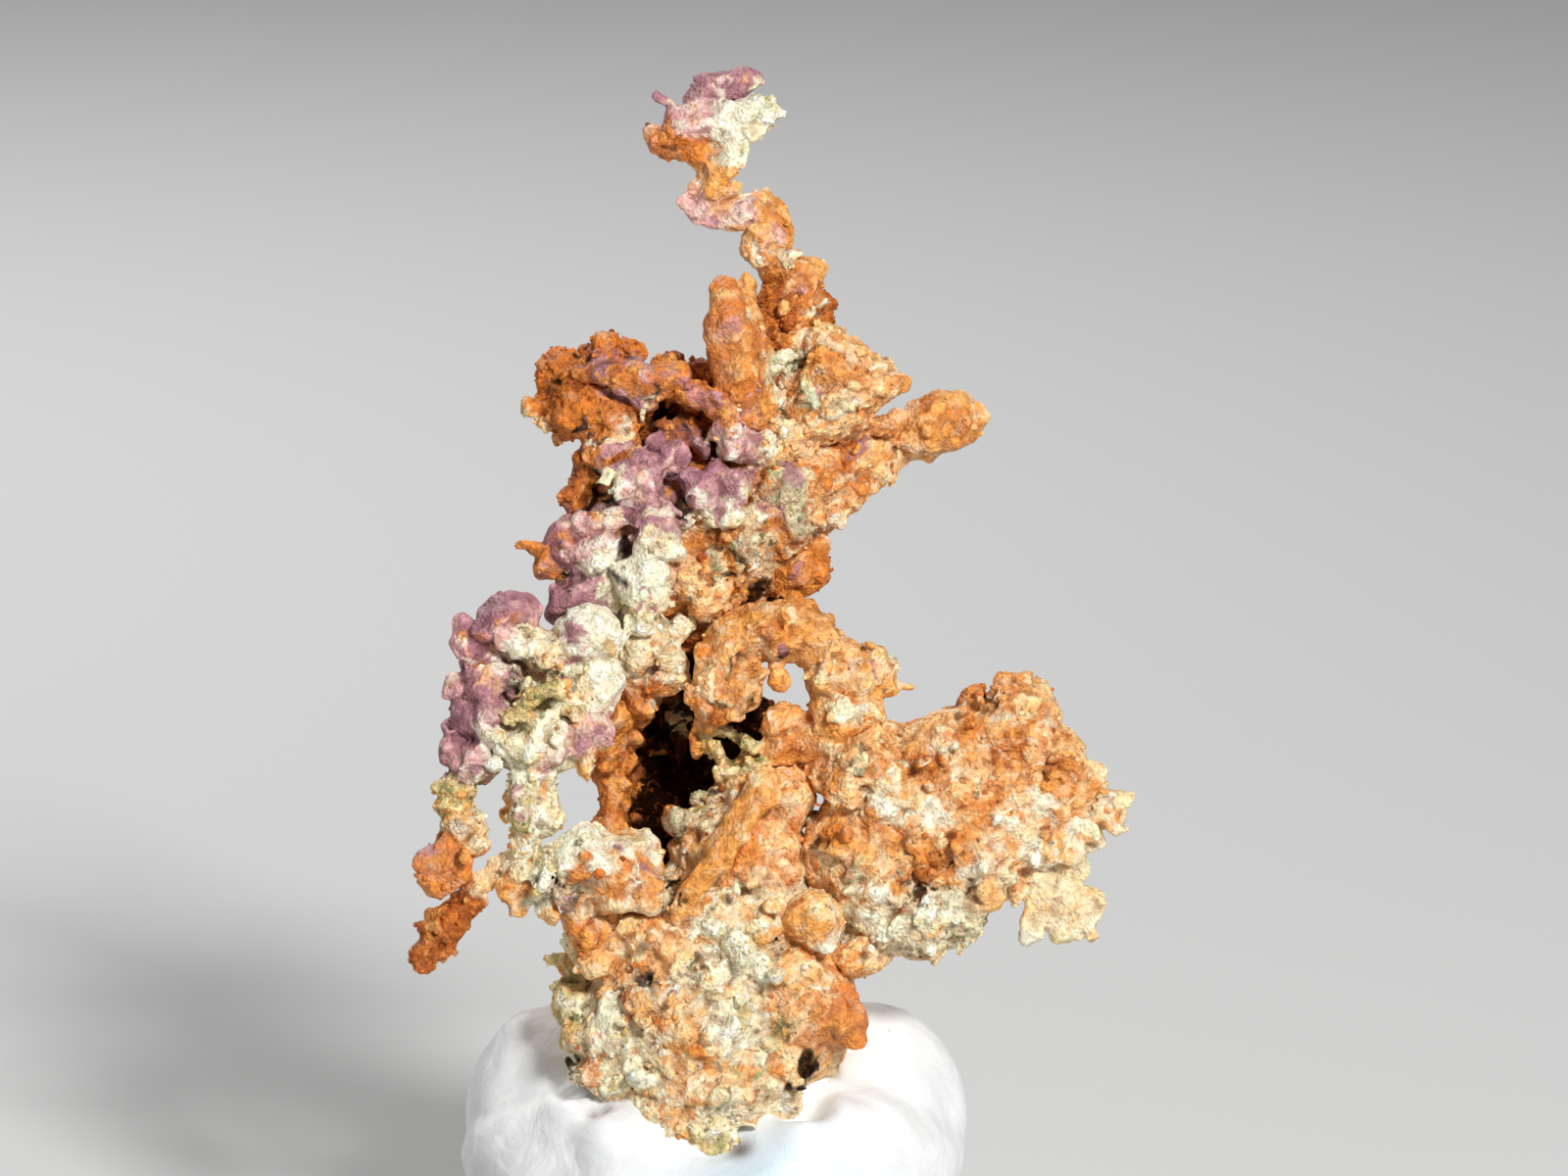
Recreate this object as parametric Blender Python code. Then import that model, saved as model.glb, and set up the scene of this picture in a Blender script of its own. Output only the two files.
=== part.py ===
"""Native copper nugget standing in a ball of white mounting putty.

The nugget is arborescent copper under a crust of red, green and mauve copper minerals: a foot, a
fan, a shelf with a tail, and a stem that forks into a trunk, two arms, a crown and a crooked spire.
It grew as one mass and is split here at its main forks. The putty is a separate lump that its foot
is pressed into.

The nugget's forms are placed in its own upright face view, in millimetres: u to the right, w away
from the viewer, v up. The whole nugget then leans back on its putty. The origin is the centre of
the putty's flat underside, +Z is up and the nugget's face looks along -Y.
"""

import math

import bmesh
import bpy
from mathutils import Matrix, Vector, noise

MM = 0.001

# Driving dimensions, in millimetres and degrees.
LEAN_DEG = 12.0
PIVOT_V = 8.0
FOOT_FORWARD = 3.0
FORK_GAP = 0.45
CAST_VOXEL = 0.28
PUTTY_VOXEL = 0.5
KNOB_SIZE = 2.1
KNOB_HEIGHT = 0.55
LEVEL_WITHIN = 0.08

# The putty lump: its half widths, and the height and half height of its middle.
PUTTY_HALF_WIDTH = 13.0
PUTTY_HALF_DEPTH = 12.0
PUTTY_MIDDLE = 7.0
PUTTY_HALF_HEIGHT = 6.4

# How many triangles each solid keeps.
TRIANGLES = {
    "foot": 1350,
    "fan": 1300,
    "shelf": 620,
    "mauve_column": 1150,
    "middle_stem": 560,
    "arch": 760,
    "trunk": 1050,
    "left_arm": 760,
    "right_arm": 420,
    "crown": 640,
    "spire": 720,
    "putty_stand": 620,
}


# Shape helpers. A lump is an ellipsoid, a limb a chain of lumps along a smooth line, a slab a plate
# with thinned edges, and a block a crystal with flat faces.


def add_lump(mesh, u, w, v, ru, rw=None, rv=None, roll=0.0):
    """An ellipsoid, rolled anticlockwise in the face view."""
    size = Matrix.Diagonal((ru, rw or ru, rv or ru, 1.0))
    turn = Matrix.Rotation(-math.radians(roll), 4, "Y")
    bmesh.ops.create_icosphere(
        mesh, subdivisions=3, radius=1.0, matrix=Matrix.Translation((u, w, v)) @ turn @ size
    )


def smooth_between(before, start, end, after, t):
    """A Catmull-Rom point from start to end."""
    return (
        start * 2
        + (end - before) * t
        + (before * 2 - start * 5 + end * 4 - after) * t**2
        + (start * 3 - before - end * 3 + after) * t**3
    ) / 2


def add_limb(mesh, *stations):
    """A branch through stations of (u, w, v, radius)."""
    stops = [Vector(station) for station in stations]
    stops = [stops[0] * 2 - stops[1], *stops, stops[-1] * 2 - stops[-2]]
    for before, start, end, after in zip(stops, stops[1:], stops[2:], stops[3:]):
        gap = (end - start).to_3d().length
        steps = max(1, math.ceil(gap / (0.45 * max(start.w, end.w))))
        for step in range(steps + 1):
            stop = smooth_between(before, start, end, after, step / steps)
            bmesh.ops.create_icosphere(
                mesh,
                subdivisions=2,
                radius=max(stop.w, 0.12),
                matrix=Matrix.Translation(stop.to_3d()),
            )


def add_slab(mesh, front, back, outline, rim=0.78):
    """A plate between two depths. Its faces are the outline drawn in by rim, its middle is full."""
    middle_u = sum(u for u, _ in outline) / len(outline)
    middle_v = sum(v for _, v in outline) / len(outline)
    depths = ((front, rim), (front * 0.72 + back * 0.28, 1.0), (front * 0.28 + back * 0.72, 1.0), (back, rim))
    rings = []
    for depth, share in depths:
        ring = [
            mesh.verts.new((middle_u + (u - middle_u) * share, depth, middle_v + (v - middle_v) * share))
            for u, v in outline
        ]
        rings.append(ring)
    for ring, following in zip(rings, rings[1:]):
        for i, corner in enumerate(ring):
            j = (i + 1) % len(ring)
            mesh.faces.new((corner, ring[j], following[j], following[i]))
    mesh.faces.new(reversed(rings[0]))
    mesh.faces.new(rings[-1])


def add_block(mesh, u, w, v, ru, rw, rv, roll=0.0, tilt=0.0):
    """A stubby crystal with flat faces and clipped corners."""
    made = bmesh.ops.create_cube(mesh, size=2.0)["verts"]
    edges = {edge for vert in made for edge in vert.link_edges}
    cut = bmesh.ops.bevel(
        mesh, geom=list(edges), offset=0.42, offset_type="OFFSET", segments=1, affect="EDGES"
    )
    corners = {vert for face in cut["faces"] for vert in face.verts}
    turn = Matrix.Rotation(-math.radians(roll), 4, "Y") @ Matrix.Rotation(math.radians(tilt), 4, "X")
    bmesh.ops.transform(
        mesh,
        matrix=Matrix.Translation((u, w, v)) @ turn @ Matrix.Diagonal((ru, rw, rv, 1.0)),
        verts=list(corners),
    )


def add_lumps(mesh, *lumps):
    for lump in lumps:
        add_lump(mesh, *lump)


# The nugget, from the putty up. Every row is (u, w, v, radii), and a seventh number is the roll.


def foot(mesh):
    """The block of copper that stands in the putty, with the smooth ridge across its front."""
    add_lumps(
        mesh,
        (0.0, -0.8, 14.6, 6.4, 5.6, 5.4),
        (0.2, -1.8, 11.3, 4.6, 4.6, 2.9),
        (-4.0, -1.2, 14.2, 3.0, 4.2, 3.4),
        (4.2, -1.4, 15.6, 3.2, 4.6, 4.0),
        (0.8, -0.8, 19.4, 6.0, 4.8, 3.6),
        (-4.8, -1.6, 18.4, 2.2, 3.2, 2.0),
        (1.6, -1.4, 23.0, 3.4, 3.4, 3.2),
        (2.8, -1.4, 26.2, 2.6, 2.6, 2.2),
    )
    add_lumps(
        mesh,
        (-7.3, -2.2, 15.6, 0.95, 1.1, 1.15),
        (-5.3, -2.8, 12.4, 1.1, 1.6, 1.2),
        (6.0, -5.0, 20.0, 1.9, 1.8, 2.2),
        (-5.6, -4.4, 19.0, 1.15, 1.2, 1.1),
        (-3.4, -4.9, 19.4, 1.6, 1.1, 0.95),
        (-4.8, -4.7, 15.2, 1.0, 1.0, 2.3),
        (-2.6, -5.6, 15.0, 0.9, 0.9, 2.3),
        (-1.0, -6.1, 14.0, 1.3, 1.0, 1.3),
        (1.3, -6.2, 15.4, 1.3, 0.9, 1.2),
        (2.8, -5.7, 12.7, 1.3, 1.1, 1.1),
        (0.3, -5.7, 11.0, 1.5, 1.2, 1.2),
        (-2.2, -5.2, 11.6, 1.5, 1.2, 1.1),
        (1.1, -5.7, 9.4, 0.6, 0.6, 0.6),
        (-4.3, -4.2, 12.2, 1.2, 1.1, 1.0),
        (3.9, -5.3, 17.4, 1.3, 1.0, 1.2),
        (1.6, -6.0, 18.2, 1.5, 1.1, 1.4),
        (-1.2, -5.6, 17.4, 1.1, 1.0, 1.1),
        (-6.9, -3.0, 18.8, 0.55, 0.7, 0.75),
    )
    add_block(mesh, 6.3, -3.8, 15.0, 1.3, 1.5, 1.4, roll=14)
    add_lumps(
        mesh,
        (-0.9, -4.2, 22.9, 0.8, 0.9, 1.1),
        (-0.2, -2.6, 25.0, 1.0, 1.1, 0.9),
        (-1.8, -2.2, 25.0, 0.65, 0.8, 0.8),
        (1.6, -2.4, 26.4, 1.0, 1.1, 0.95),
        (0.5, -2.0, 28.0, 1.1, 1.1, 1.25),
    )
    add_lumps(
        mesh,
        (-2.0, 4.0, 16.5, 2.2, 1.6, 2.4),
        (3.0, 3.6, 14.0, 2.4, 1.6, 2.2),
        (0.5, 4.0, 19.8, 2.4, 1.4, 1.8),
        (-4.2, 2.6, 13.0, 1.6, 1.6, 1.8),
        (4.8, 2.8, 18.4, 1.8, 1.5, 1.8),
        (2.4, 1.8, 23.6, 2.2, 1.6, 1.8),
    )
    add_limb(mesh, (-7.9, -1.8, 17.8, 0.55), (-7.2, -1.8, 17.1, 0.32), (-6.4, -1.8, 16.9, 0.6))
    add_limb(
        mesh,
        (-1.5, -4.8, 20.3, 0.75),
        (-0.7, -5.3, 21.6, 1.0),
        (0.4, -5.6, 23.0, 1.25),
        (1.7, -5.4, 24.6, 1.3),
        (2.8, -4.8, 26.0, 1.1),
        (3.5, -4.0, 27.2, 0.85),
    )


def fan(mesh):
    """The broad flat lobe on the right, with dendrite teeth along its edge."""
    add_slab(
        mesh,
        -5.2,
        0.8,
        [
            (5.2, 29.4), (9.0, 30.4), (12.4, 30.3), (13.6, 31.0), (15.4, 31.9), (17.0, 31.2),
            (18.0, 29.2), (19.4, 27.8), (20.0, 26.4), (19.0, 24.8), (18.2, 22.8), (15.6, 21.8),
            (14.2, 20.4), (12.0, 18.4), (9.2, 17.8), (6.4, 18.2), (4.4, 21.6), (4.4, 26.4),
        ],
        rim=0.82,
    )
    add_lumps(
        mesh,
        (13.4, -2.6, 31.0, 0.95, 1.3, 0.95),
        (15.8, -2.4, 30.0, 2.2, 2.2, 2.1),
        (15.2, -2.4, 31.8, 0.6, 0.9, 0.5),
        (11.4, -3.4, 28.4, 2.4, 2.2, 1.8),
        (14.2, -3.6, 27.2, 2.4, 2.2, 2.2),
        (8.4, -3.8, 27.4, 2.2, 2.2, 2.2),
        (17.0, -3.2, 26.2, 2.2, 1.9, 2.0),
        (10.6, -4.0, 24.6, 2.4, 2.2, 2.0),
        (13.8, -3.8, 23.8, 2.2, 2.0, 1.8),
        (8.0, -4.2, 23.2, 1.8, 2.0, 2.0),
        (9.6, -3.8, 20.6, 2.6, 2.2, 2.2),
        (12.4, -3.2, 20.4, 1.7, 1.9, 1.7),
        (14.0, -3.4, 21.8, 1.05, 1.4, 1.05),
        (13.4, -3.2, 20.7, 0.6, 1.0, 1.2),
        (7.6, -2.0, 18.4, 1.6, 2.2, 1.2),
        (17.2, -3.0, 23.6, 1.6, 1.4, 1.2),
    )
    add_lumps(
        mesh,
        (9.0, 0.6, 25.8, 2.6, 1.4, 2.4),
        (13.4, 0.2, 28.0, 2.4, 1.4, 2.0),
        (12.6, 0.4, 23.6, 2.2, 1.3, 1.8),
        (16.4, 0.0, 26.4, 1.8, 1.2, 1.8),
        (9.2, 0.4, 20.8, 1.9, 1.3, 1.6),
    )
    add_lump(mesh, 19.8, -2.8, 27.1, 0.75, 0.8, 0.55)
    add_block(mesh, 20.55, -3.2, 25.9, 0.85, 0.9, 1.05, roll=-12)
    add_block(mesh, 19.1, -3.6, 24.6, 1.15, 0.9, 0.6, roll=-8)
    add_lump(mesh, 18.5, -3.4, 23.4, 0.7, 0.8, 0.7)
    add_lumps(
        mesh,
        (17.6, -3.0, 22.0, 1.6, 1.1, 0.9),
        (18.2, -3.0, 21.2, 1.5, 1.0, 0.8),
        (19.3, -3.0, 21.0, 0.95, 0.8, 0.55),
        (16.4, -3.0, 21.4, 0.9, 0.8, 0.55),
        (17.6, -3.1, 20.4, 0.9, 0.9, 0.8),
        (19.2, -3.1, 19.9, 0.75, 0.8, 0.6),
    )
    add_limb(mesh, (17.1, -3.1, 20.4, 0.62), (16.6, -3.1, 19.7, 0.5), (16.2, -3.1, 19.1, 0.26))
    add_limb(mesh, (17.8, -3.2, 20.3, 0.6), (18.0, -3.2, 19.6, 0.48), (18.1, -3.2, 19.1, 0.3))
    add_limb(mesh, (19.2, -3.1, 20.1, 0.6), (19.8, -3.1, 19.4, 0.32))


def shelf(mesh):
    """The low shelf on the left and the beaded tail that runs down from it."""
    add_lumps(
        mesh,
        (-4.0, -4.6, 23.0, 2.3, 1.9, 1.65),
        (-6.4, -4.8, 23.0, 1.9, 1.9, 1.8),
        (-3.1, -4.4, 22.2, 1.25, 1.7, 1.6),
        (-8.0, -4.6, 22.4, 1.1, 1.3, 1.25),
        (-9.4, -4.2, 22.2, 1.0, 1.1, 1.1),
        (-9.0, -4.0, 21.0, 0.6, 0.7, 0.7),
        (-8.0, -4.2, 20.8, 0.7, 0.75, 0.8),
        (-4.2, -4.6, 21.1, 1.3, 1.2, 0.85),
        (-6.3, -4.4, 20.8, 0.8, 0.9, 0.9),
        (-5.0, -2.4, 21.2, 2.2, 2.6, 1.5),
        (-6.6, -3.8, 20.0, 0.7, 0.8, 0.9),
    )
    add_limb(
        mesh,
        (-7.6, -5.0, 24.2, 0.5),
        (-5.6, -5.5, 24.3, 0.45),
        (-3.4, -5.5, 24.3, 0.45),
        (-2.3, -5.1, 23.7, 0.45),
    )
    add_limb(
        mesh,
        (-9.4, -3.8, 23.2, 0.7),
        (-10.9, -3.4, 22.4, 0.62),
        (-11.8, -3.4, 21.7, 0.78),
        (-12.4, -3.6, 21.0, 0.72),
        (-13.1, -3.8, 20.1, 0.98),
        (-13.9, -4.0, 19.1, 0.74),
        (-14.5, -4.2, 18.3, 0.52),
        (-14.8, -4.2, 17.8, 0.46),
    )
    add_lump(mesh, -13.5, -3.5, 18.2, 0.42)


def mauve_column(mesh):
    """The knobbly column on the left, from its cap down to the shelf, and the block that hangs off it."""
    add_lumps(
        mesh,
        (-10.2, -4.4, 35.5, 1.5, 1.5, 1.25),
        (-9.6, -4.6, 36.0, 0.75, 0.8, 0.6),
        (-11.3, -4.4, 35.2, 0.75, 0.8, 0.8),
        (-12.0, -4.4, 34.0, 1.0, 1.0, 1.1),
        (-12.4, -4.4, 35.0, 0.4, 0.4, 0.45),
        (-12.6, -4.0, 32.0, 0.8, 0.9, 0.95),
        (-10.8, -4.4, 33.0, 1.1, 1.2, 1.1),
        (-10.8, -4.6, 31.5, 1.1, 1.2, 1.1),
        (-11.4, -4.6, 30.4, 1.1, 1.2, 1.1),
        (-11.0, -4.8, 29.0, 1.05, 1.2, 1.1),
        (-11.1, -4.6, 27.9, 0.85, 1.0, 0.9),
        (-12.9, -3.8, 29.6, 0.6, 0.7, 1.1),
        (-12.6, -4.2, 28.7, 0.7, 0.7, 0.7),
        (-12.5, -4.4, 27.8, 0.75, 0.8, 0.8),
    )
    add_lumps(
        mesh,
        (-12.5, -4.2, 26.5, 1.35, 1.2, 0.8),
        (-12.6, -4.2, 25.5, 1.1, 1.1, 0.75),
        (-12.4, -4.2, 24.6, 1.3, 1.2, 0.9),
        (-11.8, -4.4, 23.8, 0.7, 0.7, 0.6),
        (-13.5, -4.0, 24.7, 0.35),
    )
    add_block(mesh, -13.4, -4.2, 22.7, 1.25, 1.2, 1.25, roll=35)
    add_lumps(
        mesh,
        (-8.5, -4.6, 34.2, 1.25, 1.3, 1.35),
        (-6.0, -4.2, 34.4, 1.9, 1.9, 1.8),
        (-7.2, -3.8, 33.0, 1.5, 1.4, 1.5),
        (-5.6, -4.0, 31.6, 1.4, 1.7, 1.9),
        (-8.2, -2.8, 31.4, 2.2, 1.3, 2.4),
        (-9.2, -5.2, 31.8, 0.65, 0.5, 0.4),
        (-9.5, -5.6, 29.5, 0.62, 0.6, 0.6),
        (-8.6, -5.8, 28.8, 0.6, 0.6, 0.72),
        (-10.4, -5.4, 27.8, 0.6, 0.6, 0.9),
        (-7.7, -5.4, 30.4, 0.95, 0.7, 0.5),
        (-6.0, -4.6, 29.7, 1.35, 1.3, 1.15),
        (-7.3, -5.0, 28.8, 1.05, 1.0, 0.8),
        (-8.6, -4.2, 29.0, 2.4, 1.6, 1.6),
        (-8.7, -4.6, 27.0, 1.3, 1.3, 1.1),
        (-8.8, -4.6, 25.5, 1.4, 1.4, 1.5),
        (-9.4, -4.4, 24.2, 0.85, 0.95, 1.2),
    )
    add_limb(mesh, (-6.0, -4.6, 28.6, 0.65), (-6.0, -4.6, 27.9, 0.42), (-6.0, -4.6, 27.4, 0.2))
    add_limb(mesh, (-9.7, -5.6, 30.6, 0.42), (-8.6, -5.9, 31.1, 0.42), (-7.2, -5.6, 31.9, 0.42))
    add_lump(mesh, -10.4, -2.9, 25.4, 0.45, 0.9, 0.4)


def middle_stem(mesh):
    """The stem behind: a thick strut, the back wall of the big hollow and a spike inside it."""
    add_lumps(
        mesh,
        (-3.6, -1.2, 34.0, 1.6, 2.2, 2.2),
        (-3.7, -0.6, 31.6, 1.3, 1.9, 1.6),
        (-2.0, -2.2, 33.2, 1.0, 1.0, 0.95),
        (-1.6, -2.0, 34.6, 0.55, 0.7, 0.7),
        (-2.4, -2.0, 32.1, 1.35, 1.1, 0.85),
        (-2.2, 3.2, 30.2, 2.6, 1.5, 3.4),
        (-2.4, 3.0, 25.8, 2.6, 1.6, 3.6),
        (-1.8, 2.2, 33.8, 2.4, 2.0, 2.4),
        (0.2, 3.0, 27.6, 1.8, 1.4, 2.6),
        (2.6, 2.2, 27.4, 2.4, 1.5, 2.5),
        (1.8, 0.6, 35.4, 2.2, 1.4, 1.7),
        (-5.6, -0.6, 30.4, 1.7, 1.5, 2.5),
        (-5.2, -0.4, 33.0, 1.8, 1.6, 1.6),
    )
    add_limb(
        mesh,
        (-4.1, 0.4, 30.6, 0.95),
        (-4.5, 0.8, 29.2, 0.82),
        (-4.7, 1.2, 27.8, 0.85),
        (-4.9, 1.4, 26.4, 0.95),
        (-5.0, 1.2, 25.0, 1.0),
        (-4.9, 0.6, 23.4, 1.1),
        (-4.4, 0.0, 21.6, 1.3),
    )
    add_limb(mesh, (-1.4, 2.2, 29.9, 0.5), (-1.5, 2.0, 28.8, 0.5), (-1.6, 1.9, 27.7, 0.28))


def arch(mesh):
    """The orange arch in front of the hollow, with its pendant, right shoulder and fine spur."""
    add_limb(
        mesh,
        (0.2, -2.6, 29.9, 1.1),
        (0.7, -3.0, 31.0, 1.5),
        (0.8, -3.2, 32.4, 1.6),
        (1.3, -3.2, 33.6, 1.6),
        (2.5, -3.2, 34.5, 1.6),
        (3.9, -3.2, 34.5, 1.6),
        (5.2, -3.2, 34.0, 1.45),
        (6.3, -3.2, 33.0, 1.4),
        (6.8, -3.2, 31.6, 1.6),
        (6.9, -3.2, 30.2, 1.9),
    )
    add_lumps(
        mesh,
        (2.6, -2.4, 35.2, 1.8, 1.6, 0.95),
        (4.8, -2.6, 35.5, 0.85, 1.2, 0.75),
        (5.8, -2.8, 34.9, 0.6),
        (1.8, -4.4, 31.6, 1.3, 0.9, 1.25),
        (0.3, -3.6, 30.6, 1.1, 1.0, 0.9),
        (3.1, -4.3, 31.0, 0.36, 0.4, 0.75),
        (3.9, -3.6, 32.3, 0.5, 0.5, 0.8),
        (3.7, -3.6, 33.1, 0.35, 0.4, 0.4),
        (7.4, -2.8, 32.2, 1.8, 1.7, 1.8),
        (8.6, -2.8, 32.0, 1.0, 1.1, 1.0),
        (6.7, -4.5, 30.8, 0.8, 0.7, 0.8),
        (8.0, -3.9, 30.4, 1.0, 0.9, 1.1),
        (3.5, -3.0, 30.0, 0.85, 0.9, 1.0),
        (3.7, -2.4, 28.8, 0.9, 1.2, 1.2),
    )
    add_limb(mesh, (9.0, -2.8, 32.4, 0.4), (9.7, -2.8, 32.2, 0.2), (10.0, -2.8, 32.1, 0.3))
    add_limb(
        mesh,
        (0.9, -2.6, 28.6, 0.45),
        (1.9, -3.0, 29.1, 0.36),
        (2.8, -3.0, 28.9, 0.36),
        (3.2, -2.9, 28.2, 0.4),
    )


def trunk(mesh):
    """The upper trunk, with mauve nodules, plates and a pale pad on its face."""
    add_lumps(
        mesh,
        (2.6, 0.2, 40.2, 3.2, 3.2, 2.8),
        (-0.6, 0.2, 40.8, 3.8, 3.2, 2.8),
        (-3.6, -0.8, 40.8, 3.4, 2.8, 2.8),
        (1.2, 0.0, 37.8, 2.4, 2.6, 2.0),
        (-2.2, -0.6, 37.6, 2.6, 2.6, 2.6),
        (-5.4, -1.2, 39.0, 2.4, 2.2, 2.0),
        (-0.4, 0.4, 35.8, 2.0, 1.8, 1.6),
    )
    add_lumps(
        mesh,
        (4.7, -0.6, 37.8, 1.4, 1.6, 1.35),
        (5.4, -0.6, 39.0, 0.6),
        (4.0, -0.8, 37.0, 0.9),
        (5.7, -0.6, 37.6, 0.5),
        (-0.3, -3.2, 42.0, 1.25, 1.1, 1.2),
        (1.25, -3.0, 42.0, 1.1, 1.0, 1.1),
        (-3.0, -3.5, 42.4, 1.2, 1.0, 1.3),
        (-1.9, -3.2, 43.6, 0.9, 0.8, 0.55),
        (-2.7, -3.7, 41.0, 1.1, 1.0, 1.1),
        (-2.6, -4.0, 39.6, 1.3, 1.1, 1.2),
        (1.0, -3.0, 40.7, 1.0, 0.8, 0.7),
        (-5.4, -3.4, 40.3, 1.55, 1.2, 0.85, 5),
        (-4.5, -3.6, 42.0, 0.65, 0.7, 1.15),
        (-6.0, -3.4, 38.6, 1.5, 1.2, 1.1),
        (-7.2, -2.8, 39.4, 1.0, 1.1, 1.1),
        (-8.0, -2.6, 38.0, 0.9, 1.0, 0.9),
        (-7.0, -3.4, 36.6, 1.4, 0.9, 0.85, 22),
        (-6.0, -3.7, 37.8, 1.4, 1.0, 0.7, -5),
        (-3.6, -3.8, 37.4, 1.7, 1.3, 2.0),
        (-3.2, -3.6, 36.0, 1.1, 1.1, 1.2),
        (0.0, -1.6, 36.6, 1.8, 1.8, 1.5),
        (0.8, -1.4, 35.8, 1.1, 1.4, 0.9),
    )
    add_lumps(
        mesh,
        (0.5, 3.0, 40.0, 2.4, 1.4, 2.0),
        (-3.4, 2.0, 39.4, 2.0, 1.4, 2.0),
        (3.6, 2.6, 41.6, 1.8, 1.4, 1.6),
        (-6.2, -1.8, 35.8, 2.2, 1.8, 1.8),
        (-5.2, -1.6, 36.8, 2.2, 1.8, 1.6),
        (2.6, -0.8, 42.8, 2.0, 1.8, 1.4),
        (-2.0, 2.4, 43.4, 2.8, 1.2, 1.9),
    )
    add_limb(mesh, (-8.2, -2.6, 38.6, 0.4), (-9.0, -2.8, 38.9, 0.28), (-9.7, -2.9, 39.1, 0.2))
    add_limb(mesh, (-6.2, -1.6, 43.4, 0.6), (-6.4, -1.8, 42.2, 0.5), (-7.0, -2.2, 41.2, 0.6))


def left_arm(mesh):
    """The arm to the upper left, with the mauve ridge that overhangs its dark hollow."""
    add_lumps(
        mesh,
        (-7.2, -1.2, 47.6, 1.5, 1.7, 1.5),
        (-5.4, -1.4, 49.3, 0.65, 0.8, 0.65),
        (-4.0, -0.8, 48.8, 0.9, 1.0, 0.75),
        (-5.6, -1.0, 48.2, 1.4, 1.6, 1.1),
        (-9.0, -1.6, 46.2, 0.52),
        (-8.4, -1.4, 45.4, 0.58),
        (-8.0, -1.2, 46.4, 0.9),
        (-6.5, -1.2, 46.0, 1.8, 2.0, 1.5),
        (-5.0, -1.4, 45.6, 1.6, 1.9, 1.5),
        (-7.2, -1.2, 45.1, 0.8),
        (-5.0, -1.6, 44.2, 1.6, 1.7, 1.4),
        (-2.4, 1.4, 45.6, 3.0, 2.0, 2.2),
        (0.2, 1.2, 45.4, 2.6, 2.0, 2.2),
        (-3.2, -2.9, 46.3, 1.0, 0.9, 0.7),
        (1.0, -3.2, 45.0, 1.4, 1.2, 0.8),
        (1.8, -2.8, 44.0, 1.4, 1.3, 1.0),
        (2.8, -2.6, 44.0, 0.8, 1.1, 0.9),
        (-2.2, 0.6, 48.3, 0.7, 0.7, 0.5),
        (-0.4, 0.4, 47.8, 0.9, 0.9, 0.5),
    )
    add_limb(
        mesh,
        (-5.8, -2.6, 48.2, 0.7),
        (-4.4, -3.2, 47.6, 0.9),
        (-2.9, -3.4, 47.6, 0.9),
        (-1.7, -3.4, 47.6, 0.85),
        (-0.8, -3.2, 47.0, 0.65),
        (0.2, -3.3, 46.6, 0.95),
        (1.2, -3.0, 46.1, 0.8),
    )


def right_arm(mesh):
    """The club that reaches back to the right."""
    add_limb(
        mesh,
        (4.0, 0.0, 41.6, 2.0),
        (5.4, 0.4, 42.1, 2.0),
        (6.8, 0.8, 42.8, 1.75),
        (8.4, 1.2, 43.8, 1.5),
        (9.8, 1.6, 44.6, 1.3),
        (11.2, 1.8, 45.2, 1.15),
        (12.5, 2.0, 45.5, 1.3),
        (13.1, 2.0, 45.4, 0.95),
    )
    add_lumps(
        mesh,
        (11.8, 1.4, 46.3, 0.75, 0.8, 0.65),
        (9.7, 1.2, 45.7, 0.55),
        (9.2, 1.0, 42.8, 0.6),
        (12.6, 1.6, 44.7, 0.8),
        (13.3, 2.0, 46.0, 0.7),
        (11.6, 1.6, 44.2, 0.55),
        (5.6, -0.4, 40.8, 1.4, 1.6, 1.2),
    )


def crown(mesh):
    """The upright blade and the blunt wedge beside it."""
    add_slab(
        mesh,
        -2.3,
        2.6,
        [
            (4.0, 50.6), (5.8, 50.5), (7.2, 49.8), (9.0, 48.7), (10.2, 47.5), (10.3, 46.9),
            (9.2, 45.8), (7.8, 44.7), (5.4, 43.9), (3.6, 44.2), (2.8, 46.4), (3.0, 49.0),
        ],
        rim=0.7,
    )
    add_lumps(
        mesh,
        (6.2, -1.2, 47.6, 1.9, 1.5, 1.3, -30),
        (6.4, -1.0, 45.7, 1.9, 1.4, 0.9, -25),
        (8.4, -0.8, 47.1, 1.4, 1.2, 0.9, -10),
        (4.1, -1.8, 49.0, 0.9, 0.8, 0.45, 10),
        (3.9, -2.0, 44.9, 0.9, 0.9, 0.9),
        (6.0, 2.2, 47.0, 2.4, 1.2, 2.0),
        (3.1, -0.4, 48.8, 1.6, 1.5, 2.4),
        (3.4, -0.8, 44.4, 2.2, 1.9, 1.6),
        (5.0, 1.5, 50.6, 1.3, 0.9, 1.6),
    )
    add_slab(
        mesh,
        -3.9,
        -0.9,
        [
            (0.75, 52.5), (0.35, 51.8), (0.1, 50.6), (0.2, 49.0), (0.4, 47.4), (0.7, 45.8),
            (1.6, 45.0), (3.2, 45.2), (3.5, 47.0), (3.4, 49.0), (2.9, 50.6), (2.0, 51.6), (1.3, 52.1),
        ],
        rim=0.72,
    )
    add_limb(mesh, (2.1, -2.0, 52.3, 0.22), (2.35, -2.0, 51.6, 0.42), (2.7, -1.8, 50.4, 0.7))
    add_lump(mesh, 2.0, -2.0, 46.0, 1.6, 1.9, 1.4)


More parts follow.
